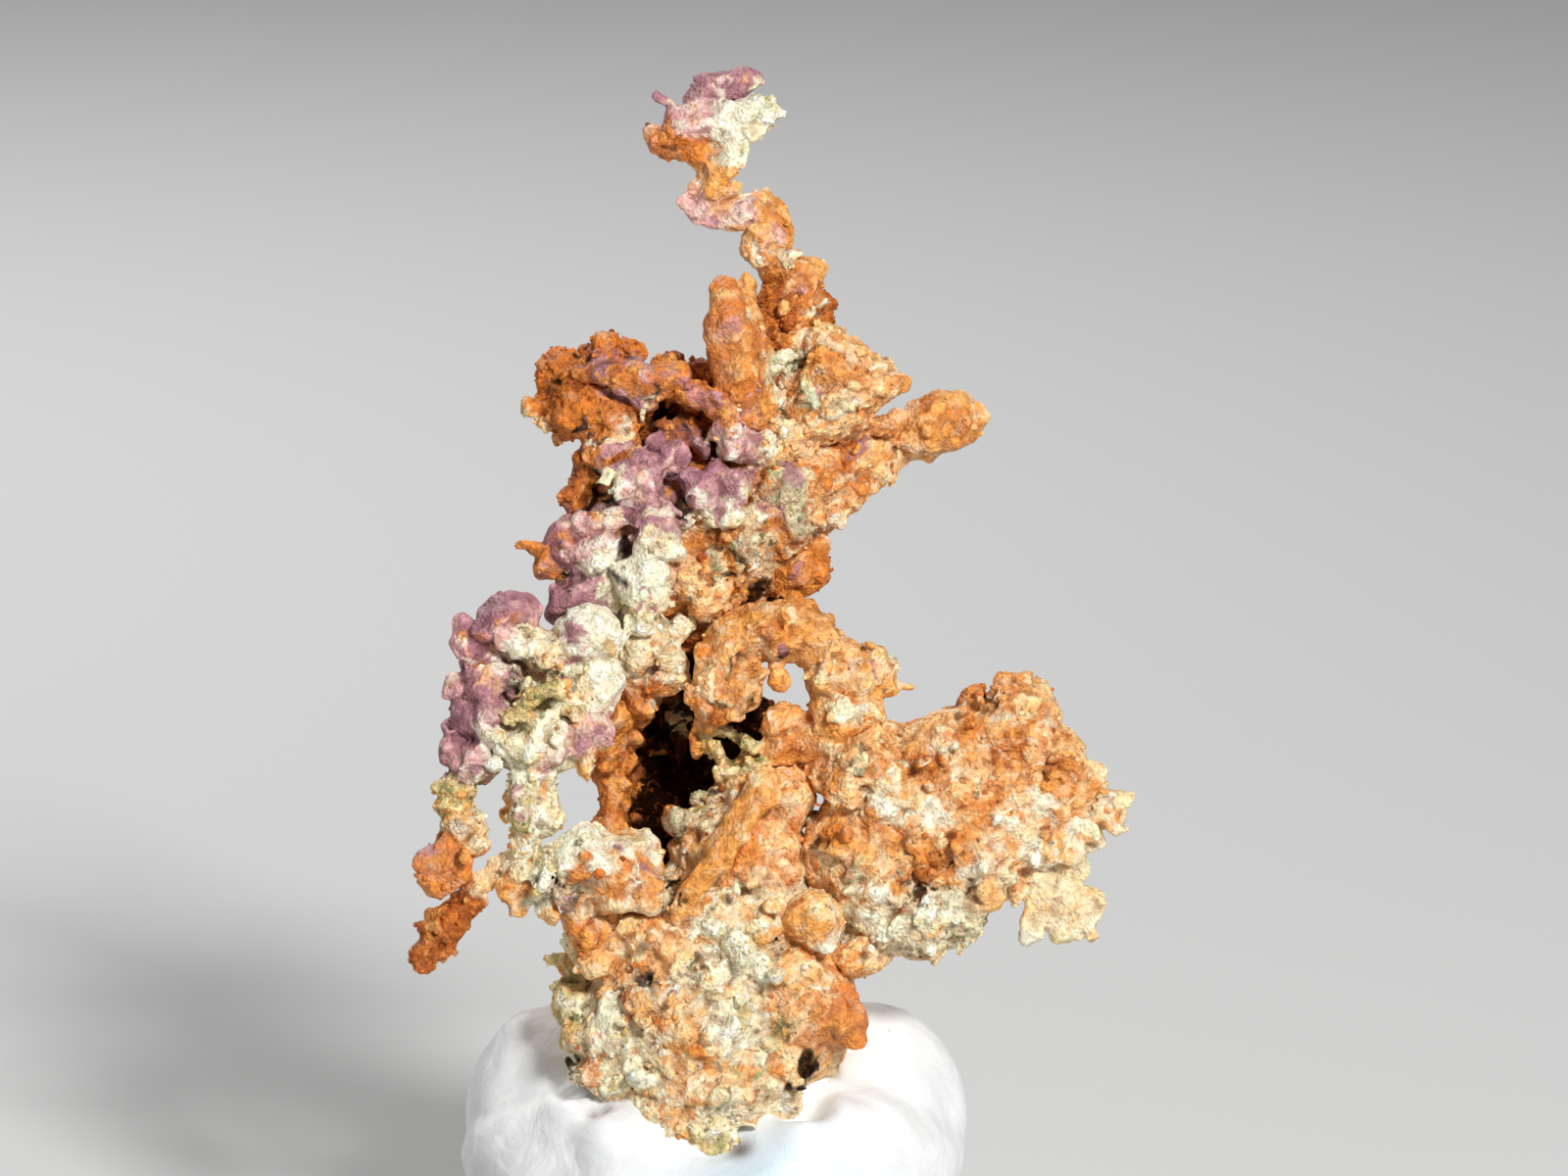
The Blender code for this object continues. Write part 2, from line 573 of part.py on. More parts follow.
def spire(mesh):
    """The crooked spire and the tuft that it ends in."""
    add_limb(
        mesh,
        (4.4, 0.2, 50.2, 1.5),
        (4.6, 0.0, 51.4, 1.4),
        (4.4, -0.2, 52.4, 1.15),
        (3.8, -0.4, 53.4, 1.0),
        (3.3, -0.6, 54.4, 1.1),
        (3.5, -0.6, 55.3, 1.05),
        (2.9, -0.6, 56.1, 0.9),
        (1.9, -0.8, 56.1, 0.8),
        (0.9, -1.0, 55.9, 0.68),
        (0.1, -1.2, 56.3, 0.58),
        (0.0, -1.2, 57.0, 0.6),
        (0.1, -1.2, 57.6, 0.64),
        (-0.2, -1.3, 58.4, 0.75),
    )
    add_lumps(
        mesh,
        (5.7, -0.2, 51.4, 0.5),
        (5.0, -0.2, 52.9, 0.75),
        (4.2, -0.6, 55.4, 0.6),
        (2.75, -1.4, 53.7, 0.4),
        (-0.6, -1.2, 56.0, 0.42),
        (-1.0, -1.2, 56.8, 0.32),
        (1.25, -1.3, 57.3, 0.38),
        (-0.3, -1.4, 60.2, 1.2, 1.1, 1.2),
        (0.7, -1.4, 59.5, 1.1, 1.1, 1.0),
        (-0.3, -1.4, 58.8, 0.9, 0.95, 0.8),
        (-1.8, -1.4, 59.2, 0.85, 0.8, 0.75),
        (-2.6, -1.4, 59.5, 0.65, 0.6, 0.6),
        (-3.1, -1.5, 59.9, 0.35),
        (2.2, -1.6, 60.7, 1.1, 1.0, 1.0),
        (2.9, -1.5, 61.0, 0.7),
        (1.8, -1.7, 61.3, 0.6),
        (1.6, -1.8, 59.8, 0.8),
        (1.1, -1.7, 59.0, 0.6),
    )
    add_limb(
        mesh,
        (-0.3, -1.2, 61.5, 0.6),
        (0.2, -1.0, 62.2, 0.7),
        (1.0, -0.9, 62.8, 0.66),
        (1.8, -0.8, 63.15, 0.52),
        (2.2, -0.8, 63.1, 0.42),
    )
    add_limb(
        mesh,
        (-0.8, -1.4, 60.9, 0.6),
        (-1.6, -1.6, 61.3, 0.46),
        (-2.2, -1.7, 61.8, 0.42),
        (-2.7, -1.8, 62.2, 0.4),
    )


# Each branch with the branches it meets at its forks, which it is cut to clear.
NUGGET = (
    (foot, ()),
    (fan, ("foot",)),
    (shelf, ("foot",)),
    (mauve_column, ("shelf", "foot")),
    (middle_stem, ("foot", "shelf", "mauve_column")),
    (arch, ("foot", "fan", "middle_stem")),
    (trunk, ("mauve_column", "middle_stem", "arch")),
    (right_arm, ("trunk",)),
    (left_arm, ("trunk", "right_arm", "mauve_column")),
    (crown, ("trunk", "right_arm", "left_arm")),
    (spire, ("crown",)),
)


def material(name, colour, roughness, metallic):
    made = bpy.data.materials.new(name)
    made.use_nodes = True
    surface = made.node_tree.nodes["Principled BSDF"]
    surface.inputs["Base Color"].default_value = (*colour, 1.0)
    surface.inputs["Roughness"].default_value = roughness
    surface.inputs["Metallic"].default_value = metallic
    made.diffuse_color = (*colour, 1.0)
    return made


CRUST_COLOURS = {
    "foot": (0.72, 0.50, 0.28),
    "fan": (0.83, 0.46, 0.21),
    "shelf": (0.74, 0.60, 0.38),
    "mauve_column": (0.56, 0.33, 0.36),
    "middle_stem": (0.75, 0.47, 0.22),
    "arch": (0.80, 0.44, 0.17),
    "trunk": (0.60, 0.39, 0.27),
    "left_arm": (0.69, 0.33, 0.15),
    "right_arm": (0.71, 0.38, 0.16),
    "crown": (0.80, 0.50, 0.28),
    "spire": (0.74, 0.46, 0.29),
}


def applied(obj):
    """Gives obj the mesh that its modifiers make."""
    graph = bpy.context.evaluated_depsgraph_get()
    shaped = bpy.data.meshes.new_from_object(obj.evaluated_get(graph))
    obj.modifiers.clear()
    old = obj.data
    obj.data = shaped
    bpy.data.meshes.remove(old)


def cast(obj, voxel, smoothing):
    """Fuses overlapping forms into one closed skin."""
    fuse = obj.modifiers.new("Fuse", "REMESH")
    fuse.mode = "VOXEL"
    fuse.voxel_size = voxel * MM
    soften = obj.modifiers.new("Soften", "SMOOTH")
    soften.factor = 0.5
    soften.iterations = smoothing
    applied(obj)


def knobble(obj):
    """The crust's own relief: rounded knobs with creases between them."""
    for vert in obj.data.vertices:
        nearest, second = noise.voronoi(vert.co / (KNOB_SIZE * MM))[0][:2]
        knob = min(second - nearest, 0.6) - 0.25
        vert.co += vert.normal * knob * KNOB_HEIGHT * MM


def thin_out(obj, triangles):
    """Brings the skin down to about this many triangles."""
    obj.data.calc_loop_triangles()
    thin = obj.modifiers.new("Thin out", "DECIMATE")
    thin.ratio = min(1.0, triangles / len(obj.data.loop_triangles))
    thin.use_collapse_triangulate = True
    applied(obj)


def keep_largest(obj):
    """Drops every loose crumb that a cut left behind."""
    mesh = bmesh.new()
    mesh.from_mesh(obj.data)
    unseen = set(mesh.verts)
    bodies = []
    while unseen:
        body = [unseen.pop()]
        for vert in body:
            joined = {edge.other_vert(vert) for edge in vert.link_edges} & unseen
            unseen -= joined
            body.extend(joined)
        bodies.append(body)
    bodies.sort(key=len)
    for body in bodies[:-1]:
        bmesh.ops.delete(mesh, geom=body, context="VERTS")
    mesh.to_mesh(obj.data)
    mesh.free()


def grown(obj, gap):
    """A cutter: obj swollen by the gap on every side."""
    cutter = bpy.data.objects.new(obj.name + "_cutter", obj.data.copy())
    cutter.parent = obj.parent
    bpy.context.scene.collection.objects.link(cutter)
    swell = cutter.modifiers.new("Swell", "DISPLACE")
    swell.strength = gap * MM
    swell.mid_level = 0.0
    cast(cutter, CAST_VOXEL, 1)
    thin_out(cutter, 3 * TRIANGLES[obj.name])
    cutter.hide_render = True
    cutter.display_type = "WIRE"
    return cutter


def cut(obj, cutter):
    """Takes the swollen neighbour out of obj."""
    clear = obj.modifiers.new("Clear " + cutter.name, "BOOLEAN")
    clear.operation = "DIFFERENCE"
    clear.solver = "EXACT"
    clear.object = cutter
    applied(obj)
    keep_largest(obj)


def new_object(name, mesh, parent, colour, roughness, metallic):
    mesh.normal_update()
    bmesh.ops.recalc_face_normals(mesh, faces=mesh.faces)
    data = bpy.data.meshes.new(name)
    mesh.to_mesh(data)
    mesh.free()
    obj = bpy.data.objects.new(name, data)
    obj.parent = parent
    bpy.context.scene.collection.objects.link(obj)
    obj.data.materials.append(material(name, colour, roughness, metallic))
    return obj


def make_branch(form, lean):
    """Models one branch in the face view and brings it to real size about the lean's pivot."""
    mesh = bmesh.new()
    form(mesh)
    to_pivot = Matrix.Scale(MM, 4) @ Matrix.Translation((0.0, 0.0, -PIVOT_V))
    bmesh.ops.transform(mesh, matrix=to_pivot, verts=mesh.verts)
    name = form.__name__
    obj = new_object(name, mesh, lean, CRUST_COLOURS[name], 0.75, 0.25)
    cast(obj, CAST_VOXEL, 2)
    knobble(obj)
    cast(obj, CAST_VOXEL, 1)
    thin_out(obj, 3 * TRIANGLES[name])
    return obj


def make_putty():
    """The kneaded lump: two humps behind, a lower lip in front, flat underneath."""
    mesh = bmesh.new()
    add_lumps(
        mesh,
        (0.2, 0.4, PUTTY_MIDDLE, PUTTY_HALF_WIDTH, PUTTY_HALF_DEPTH, PUTTY_HALF_HEIGHT),
        (0.1, 0.2, 4.0, PUTTY_HALF_WIDTH * 0.96, PUTTY_HALF_DEPTH * 0.97, 5.2),
        (-7.2, 2.6, 8.8, 5.4, 6.8, 5.6),
        (7.9, 2.6, 8.8, 5.4, 6.8, 5.6),
        (0.4, 6.6, 8.2, 7.6, 5.0, 5.2),
        (-4.6, -5.4, 5.4, 6.2, 6.0, 4.4),
        (5.4, -5.2, 5.6, 6.2, 6.0, 4.6),
        (0.4, -6.6, 5.0, 6.0, 5.4, 4.2),
    )
    bmesh.ops.transform(mesh, matrix=Matrix.Scale(MM, 4), verts=mesh.verts)
    obj = new_object("putty_stand", mesh, None, (0.83, 0.83, 0.84), 0.7, 0.0)
    cast(obj, PUTTY_VOXEL, 8)
    flatten(obj)
    return obj


def flatten(obj):
    """Cuts the putty's underside flat, where it stands."""
    mesh = bmesh.new()
    mesh.from_mesh(obj.data)
    whole = list(mesh.verts) + list(mesh.edges) + list(mesh.faces)
    split = bmesh.ops.bisect_plane(
        mesh, geom=whole, plane_co=(0, 0, 0), plane_no=(0, 0, -1), clear_outer=True
    )
    rim = [part for part in split["geom_cut"] if isinstance(part, bmesh.types.BMEdge)]
    bmesh.ops.contextual_create(mesh, geom=rim)
    bmesh.ops.triangulate(mesh, faces=mesh.faces)
    bmesh.ops.recalc_face_normals(mesh, faces=mesh.faces)
    mesh.to_mesh(obj.data)
    mesh.free()


def main():
    for old in list(bpy.data.objects):
        bpy.data.objects.remove(old)

    lean = bpy.data.objects.new("lean", None)
    lean.location = (0.0, -FOOT_FORWARD * MM, PIVOT_V * MM)
    lean.rotation_euler.x = -math.radians(LEAN_DEG)
    bpy.context.scene.collection.objects.link(lean)
    bpy.context.view_layer.update()

    solids = [make_putty()]
    cutters = {}
    for form, neighbours in NUGGET:
        branch = make_branch(form, lean)
        for name in neighbours:
            cut(branch, cutters[name])
        cutters[branch.name] = grown(branch, FORK_GAP)
        solids.append(branch)
    cut(solids[0], cutters["foot"])
    for solid in solids:
        thin_out(solid, TRIANGLES[solid.name])
    for vert in solids[0].data.vertices:
        if abs(vert.co.z) < LEVEL_WITHIN * MM:
            vert.co.z = 0.0
    for cutter in cutters.values():
        bpy.data.objects.remove(cutter)


main()
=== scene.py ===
"""Native copper nugget standing in white mounting putty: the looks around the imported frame."""

import math

import bpy
import numpy as np
from mathutils import Matrix, Vector, noise


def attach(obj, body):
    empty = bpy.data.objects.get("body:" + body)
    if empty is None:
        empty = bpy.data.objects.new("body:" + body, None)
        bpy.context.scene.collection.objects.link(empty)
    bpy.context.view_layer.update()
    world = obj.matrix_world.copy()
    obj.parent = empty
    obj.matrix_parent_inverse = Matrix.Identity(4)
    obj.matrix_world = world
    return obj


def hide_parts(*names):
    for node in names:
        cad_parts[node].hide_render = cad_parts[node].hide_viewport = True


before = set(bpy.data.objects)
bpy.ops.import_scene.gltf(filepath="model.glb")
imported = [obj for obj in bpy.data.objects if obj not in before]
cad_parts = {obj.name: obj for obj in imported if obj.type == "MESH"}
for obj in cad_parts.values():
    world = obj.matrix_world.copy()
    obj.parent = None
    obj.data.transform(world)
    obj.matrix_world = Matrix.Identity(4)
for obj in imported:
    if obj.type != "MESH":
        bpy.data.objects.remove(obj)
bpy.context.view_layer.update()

# Camera. The photograph looks slightly down on the nugget through a long lens, square to its
# leaning face, so a millimetre of that face is the same wherever it is in the picture.
MM = 0.001
LEAN = math.radians(12.0)
PIVOT_V = 8.0
FOOT_FORWARD = 3.0
PICTURE_WIDTH = 80.0
PICTURE_MIDDLE = (3.8, 0.0, 36.85)
CAMERA_DISTANCE = 620.0
SENSOR_WIDTH = 36.0

# Takes the nugget's own upright face view in millimetres (u right, w away, v up) to its place.
TO_PLACE = (
    Matrix.Translation((0.0, -FOOT_FORWARD * MM, PIVOT_V * MM))
    @ Matrix.Rotation(-LEAN, 4, "X")
    @ Matrix.Scale(MM, 4)
    @ Matrix.Translation((0.0, 0.0, -PIVOT_V))
)

camera_data = bpy.data.cameras.new("camera")
camera_data.sensor_width = SENSOR_WIDTH
camera_data.lens = SENSOR_WIDTH * CAMERA_DISTANCE / PICTURE_WIDTH
camera_data.clip_start = 0.01
camera = bpy.data.objects.new("camera", camera_data)
bpy.context.scene.collection.objects.link(camera)
camera.location = TO_PLACE @ Vector((PICTURE_MIDDLE[0], -CAMERA_DISTANCE, PICTURE_MIDDLE[2]))
camera.rotation_euler = (math.radians(90.0) - LEAN, 0.0, 0.0)
bpy.context.scene.camera = camera

# Light. One soft box in front on the right gives the crust its shadows, a weak one on the left
# opens them, and one behind picks out the edges. All of them look at the nugget's middle.
LIGHT_AIM = Vector((0.0, 0.0, 0.03))
SKY_COLOUR = (0.93, 0.96, 1.0, 1.0)
SKY_STRENGTH = 0.13


def soft_box(name, place, size, power):
    light = bpy.data.lights.new(name, "AREA")
    light.shape = "DISK"
    light.size = size
    light.energy = power
    lamp = bpy.data.objects.new(name, light)
    lamp.location = place
    lamp.rotation_euler = (LIGHT_AIM - lamp.location).to_track_quat("-Z", "Y").to_euler()
    bpy.context.scene.collection.objects.link(lamp)


soft_box("key light", (0.18, -0.36, 0.30), 0.10, 2.45)
soft_box("fill light", (-0.34, -0.26, 0.16), 0.3, 0.11)
soft_box("edge light", (-0.14, 0.30, 0.30), 0.14, 0.9)
world = bpy.data.worlds.new("studio")
world.use_nodes = True
sky = world.node_tree.nodes["Background"]
sky.inputs["Color"].default_value = SKY_COLOUR
sky.inputs["Strength"].default_value = SKY_STRENGTH
bpy.context.scene.world = world
bpy.context.scene.view_settings.view_transform = "Standard"

# Floor. A round pale paper sweep: flat under the putty and curving up far out on every side.
FLOOR_FLAT = 0.95
FLOOR_BEND = 0.45
FLOOR_CURL = math.radians(80.0)
FLOOR_SIDES = 96
FLOOR_STEPS = 12

bpy.ops.object.select_all(action="DESELECT")
bpy.ops.mesh.primitive_circle_add(vertices=FLOOR_SIDES, radius=FLOOR_FLAT)
floor = bpy.context.object
floor.name = "floor"
rows = [(FLOOR_FLAT, 0.0)]
for step in range(1, FLOOR_STEPS + 1):
    turn = FLOOR_CURL * step / FLOOR_STEPS
    rows.append((FLOOR_FLAT + FLOOR_BEND * math.sin(turn), FLOOR_BEND * (1.0 - math.cos(turn))))
around = [2.0 * math.pi * side / FLOOR_SIDES for side in range(FLOOR_SIDES)]
points = [(far * math.cos(turn), far * math.sin(turn), up) for far, up in rows for turn in around]
faces = [tuple(range(FLOOR_SIDES))]
for row in range(FLOOR_STEPS):
    for side in range(FLOOR_SIDES):
        here = row * FLOOR_SIDES + side
        beside = row * FLOOR_SIDES + (side + 1) % FLOOR_SIDES
        faces.append((here, here + FLOOR_SIDES, beside + FLOOR_SIDES, beside))
floor.data.clear_geometry()
floor.data.from_pydata(points, [], faces)
bpy.ops.object.shade_smooth()
paper = bpy.data.materials.new("floor paper")
paper.use_nodes = True
paper_surface = paper.node_tree.nodes["Principled BSDF"]
paper_surface.inputs["Base Color"].default_value = (0.66, 0.66, 0.65, 1.0)
paper_surface.inputs["Roughness"].default_value = 0.9
floor.data.materials.append(paper)

# Putty stand. A lump of soft white mounting putty, kneaded by hand and pressed round the nugget's
# foot, with finger folds, a thick rolled rim at its socket and dust picked up from the crust.
PUTTY_HALF_WIDTH = 13.0
PUTTY_HALF_DEPTH = 12.0
PUTTY_LUMPS = (
    (0.2, 0.4, 7.0, PUTTY_HALF_WIDTH, PUTTY_HALF_DEPTH, 6.4),
    (0.1, 0.2, 4.0, PUTTY_HALF_WIDTH * 0.96, PUTTY_HALF_DEPTH * 0.97, 5.2),
    (-7.2, 2.6, 8.8, 5.4, 6.8, 5.6),
    (7.9, 2.6, 8.8, 5.4, 6.8, 5.6),
    (0.4, 6.6, 8.2, 7.6, 5.0, 5.2),
    (-4.6, -5.4, 5.4, 6.2, 6.0, 4.4),
    (5.4, -5.2, 5.6, 6.2, 6.0, 4.6),
    (0.4, -6.6, 5.0, 6.0, 5.4, 4.2),
)
# Dents of thumb and fingers: x, y, z, reach and depth. A negative depth is a fold pushed up.
PUTTY_DENTS = (
    (0.2, -9.0, 10.6, 4.6, 1.5),
    (-8.2, -9.0, 8.8, 3.4, 0.6),
    (-10.6, -3.0, 12.0, 3.0, 0.5),
    (9.6, -8.6, 6.8, 2.8, 0.6),
    (11.4, 0.0, 10.2, 3.2, 0.5),
    (0.0, 11.4, 8.6, 4.0, 0.9),
    (-9.6, 8.0, 7.4, 3.6, 0.7),
    (9.0, 8.4, 8.4, 3.4, 0.7),
    (5.0, -8.4, 9.8, 2.4, -0.8),
    (7.0, -7.0, 11.2, 2.4, -0.7),
    (9.0, -5.0, 11.8, 2.4, -0.5),
    (-5.2, -8.0, 10.4, 2.2, -0.7),
    (-7.4, -6.4, 11.4, 2.4, -0.6),
    (-9.6, 1.6, 13.2, 2.4, -0.5),
    (4.6, -10.8, 4.4, 2.8, 0.6),
    (-5.4, -11.0, 4.2, 2.8, 0.6),
    (-10.2, -6.6, 5.0, 2.6, 0.5),
    (10.6, -5.8, 5.2, 2.6, 0.5),
)
# Gaps between the putty and the nugget, darkened with painted shade and crumbs of crust: x, y, z, reach and
# depth.
PUTTY_GAPS = (
    (-7.2, -5.2, 12.6, 1.9, 1.4),
    (4.8, -6.8, 12.0, 2.2, 1.9),
    (5.9, -5.4, 12.9, 1.6, 1.1),
    (1.7, -8.5, 9.4, 1.5, 1.2),
    (-5.6, -7.0, 11.2, 1.0, 0.7),
)
PUTTY_WHITE = np.array((0.91, 0.92, 0.92))
PUTTY_BLUE = np.array((0.66, 0.87, 0.98))
PUTTY_BLUE_SPOT = np.array((3.4, -10.6, 5.6))
PUTTY_BLUE_REACH = 8.5
PUTTY_GAP_SHADE_AND_CRUMBS = np.array((0.88, 0.96, 0.99))
PUTTY_VOXEL = 0.3


def fused(objects, name, voxel, smoothing):
    """Joins overlapping forms and gives them one closed skin."""
    bpy.ops.object.select_all(action="DESELECT")
    for form in objects:
        form.select_set(True)
    bpy.context.view_layer.objects.active = objects[0]
    bpy.ops.object.join()
    piece = bpy.context.object
    piece.name = name
    bpy.ops.object.transform_apply(location=True, rotation=True, scale=True)
    skin = piece.modifiers.new("Skin", "REMESH")
    skin.mode = "VOXEL"
    skin.voxel_size = voxel
    bpy.ops.object.modifier_apply(modifier=skin.name)
    soft = piece.modifiers.new("Soft", "SMOOTH")
    soft.factor = 0.5
    soft.iterations = smoothing
    bpy.ops.object.modifier_apply(modifier=soft.name)
    return piece


def add_ellipsoid(u, w, v, ru, rw=None, rv=None, roll=0.0):
    """A rounded form, rolled anticlockwise as the camera sees it."""
    bpy.ops.mesh.primitive_ico_sphere_add(
        subdivisions=2 if ru < 1.3 else 3,
        radius=1.0,
        location=(u, w, v),
        rotation=(0.0, -math.radians(roll), 0.0),
        scale=(ru, rw or ru, rv or ru),
    )
    return bpy.context.object


def read_points(mesh):
    flat = np.empty(3 * len(mesh.vertices), dtype=np.float32)
    mesh.vertices.foreach_get("co", flat)
    return flat.reshape(-1, 3)


def write_points(mesh, points):
    mesh.vertices.foreach_set("co", points.astype(np.float32).ravel())
    mesh.update()


def read_normals(mesh):
    flat = np.empty(3 * len(mesh.vertices), dtype=np.float32)
    mesh.vertex_normals.foreach_get("vector", flat)
    return flat.reshape(-1, 3)


def hill(distance, reach):
    """1 at no distance, falling smoothly to 0 at reach."""
    share = np.clip(1.0 - distance / reach, 0.0, 1.0)
    return share * share * (3.0 - 2.0 * share)


def press(piece, dents):
    """Pushes the skin in at each dent: its place, its reach and its depth."""
    points = read_points(piece.data)
    normals = read_normals(piece.data)
    moved = points.copy()
    for x, y, z, reach, depth in dents:
        near = hill(np.linalg.norm(points - np.array((x, y, z)), axis=1), reach)
        moved -= normals * (near * depth)[:, None]
    write_points(piece.data, moved)


def weather(piece, pattern, size, height, group=""):
    """Displaces the skin by a fixed pattern: clouds, or domes with creases between them."""
    texture = bpy.data.textures.new(piece.name + " " + pattern, pattern)
    texture.noise_scale = size
    if pattern == "VORONOI":
        texture.distance_metric = "DISTANCE_SQUARED"
        height = -height
    rough = piece.modifiers.new(pattern, "DISPLACE")
    rough.texture = texture
    rough.texture_coords = "LOCAL"
    rough.mid_level = 0.45
    rough.strength = height
    rough.vertex_group = group
    bpy.ops.object.modifier_apply(modifier=rough.name)


def paint(mesh, name, colours):
    """Stores a colour for each point."""
    layer = mesh.color_attributes.new(name, "FLOAT_COLOR", "POINT")
    rgba = np.ones((len(colours), 4), dtype=np.float32)
    rgba[:, :3] = np.clip(colours, 0.0, 1.0)
    layer.data.foreach_set("color", rgba.ravel())


class Finish:
    """A material under way, with the few steps that the putty and the crust are mixed by."""

    def __init__(self, name):
        self.material = bpy.data.materials.new(name)
        self.material.use_nodes = True
        self.nodes = self.material.node_tree.nodes
        self.links = self.material.node_tree.links
        self.surface = self.nodes["Principled BSDF"]
        self.place = self.nodes.new("ShaderNodeTexCoord").outputs["Object"]

    def attribute(self, name, output):
        node = self.nodes.new("ShaderNodeAttribute")
        node.attribute_name = name
        return node.outputs[output]

    def cloud(self, scale, detail, roughness=0.5, distortion=0.0):
        node = self.nodes.new("ShaderNodeTexNoise")
        node.inputs["Scale"].default_value = scale
        node.inputs["Detail"].default_value = detail
        node.inputs["Roughness"].default_value = roughness
        node.inputs["Distortion"].default_value = distortion
        self.links.new(self.place, node.inputs["Vector"])
        return node.outputs["Fac"]

    def cells(self, scale):
        node = self.nodes.new("ShaderNodeTexVoronoi")
        node.inputs["Scale"].default_value = scale
        self.links.new(self.place, node.inputs["Vector"])
        return node.outputs["Distance"]

    def levels(self, source, low, high, bottom, top):
        node = self.nodes.new("ShaderNodeMapRange")
        node.inputs["From Min"].default_value = low
        node.inputs["From Max"].default_value = high
        node.inputs["To Min"].default_value = bottom
        node.inputs["To Max"].default_value = top
        self.links.new(source, node.inputs["Value"])
        return node.outputs["Result"]

    def product(self, first, second):
        node = self.nodes.new("ShaderNodeMath")
        node.operation = "MULTIPLY"
        self.links.new(first, node.inputs[0])
        self.links.new(second, node.inputs[1])
        return node.outputs[0]

    def shaded(self, colour, amount):
        node = self.nodes.new("ShaderNodeVectorMath")
        node.operation = "SCALE"
        self.links.new(colour, node.inputs["Vector"])
        self.links.new(amount, node.inputs["Scale"])
        return node.outputs["Vector"]

    def mixed(self, share, first, second):
        """The first colour where share is 0, and the second, a colour or an output, where it is 1."""
        node = self.nodes.new("ShaderNodeMix")
        node.data_type = "RGBA"
        self.links.new(share, node.inputs[0])
        self.links.new(first, node.inputs[6])
        if isinstance(second, tuple):
            node.inputs[7].default_value = (*second, 1.0)
        else:
            self.links.new(second, node.inputs[7])
        return node.outputs[2]

    def relief(self, height, strength, distance, below=None):
        node = self.nodes.new("ShaderNodeBump")
        node.inputs["Strength"].default_value = strength
        node.inputs["Distance"].default_value = distance
        self.links.new(height, node.inputs["Height"])
        if below:
            self.links.new(below, node.inputs["Normal"])
        return node.outputs["Normal"]


putty = fused([add_ellipsoid(*lump) for lump in PUTTY_LUMPS], "putty_lump", PUTTY_VOXEL, 12)
press(putty, PUTTY_DENTS + PUTTY_GAPS)
weather(putty, "CLOUDS", 5.0, 0.4)
weather(putty, "CLOUDS", 1.6, 0.06)
points = read_points(putty.data)
points[:, 2] = np.maximum(points[:, 2], 0.0)
write_points(putty.data, points)
blue_share = hill(np.linalg.norm(points - PUTTY_BLUE_SPOT, axis=1), PUTTY_BLUE_REACH)[:, None]
tints = PUTTY_WHITE * (1.0 - blue_share) + PUTTY_BLUE * blue_share
# Painted shade darkens the putty in the gaps at the socket, with crumbs of crust.
for x, y, z, reach, depth in PUTTY_GAPS:
    gap_shade_and_crumbs = hill(np.linalg.norm(points - np.array((x, y, z)), axis=1), 0.8 * reach)[:, None]
    tints *= 1.0 - gap_shade_and_crumbs * PUTTY_GAP_SHADE_AND_CRUMBS
paint(putty.data, "tint", tints)
putty.matrix_world = Matrix.Scale(MM, 4)
bpy.ops.object.transform_apply(location=True, rotation=True, scale=True)
bpy.ops.object.shade_smooth()

white_putty = Finish("mounting putty")
grime = white_putty.levels(white_putty.cloud(160.0, 6.0, 0.65), 0.35, 0.68, 1.03, 0.84)
kneaded = white_putty.shaded(white_putty.attribute("tint", "Color"), grime)
specks = white_putty.levels(white_putty.cloud(900.0, 3.0, 0.6), 0.70, 0.74, 0.0, 0.55)
kneaded = white_putty.mixed(specks, kneaded, (0.42, 0.26, 0.12))
white_putty.links.new(kneaded, white_putty.surface.inputs["Base Color"])
white_putty.surface.inputs["Roughness"].default_value = 0.55
white_putty.surface.inputs["Subsurface Weight"].default_value = 0.12
white_putty.surface.inputs["Subsurface Radius"].default_value = (1.0, 0.9, 0.8)
white_putty.surface.inputs["Subsurface Scale"].default_value = 0.001
skin_marks = white_putty.relief(white_putty.cloud(1400.0, 4.0, 0.6), 0.3, 0.0001)
kneading = white_putty.relief(white_putty.cloud(330.0, 3.0, 0.5, 1.2), 0.4, 0.0005, skin_marks)
white_putty.links.new(kneading, white_putty.surface.inputs["Normal"])
putty.data.materials.append(white_putty.material)
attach(putty, "root")
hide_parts("putty_stand")

# Foot. The nugget's block of copper in the putty, under a crust of peach, cream and mint grains,
# with the smooth orange ridge that climbs its front. It grew from hundreds of small crystals.

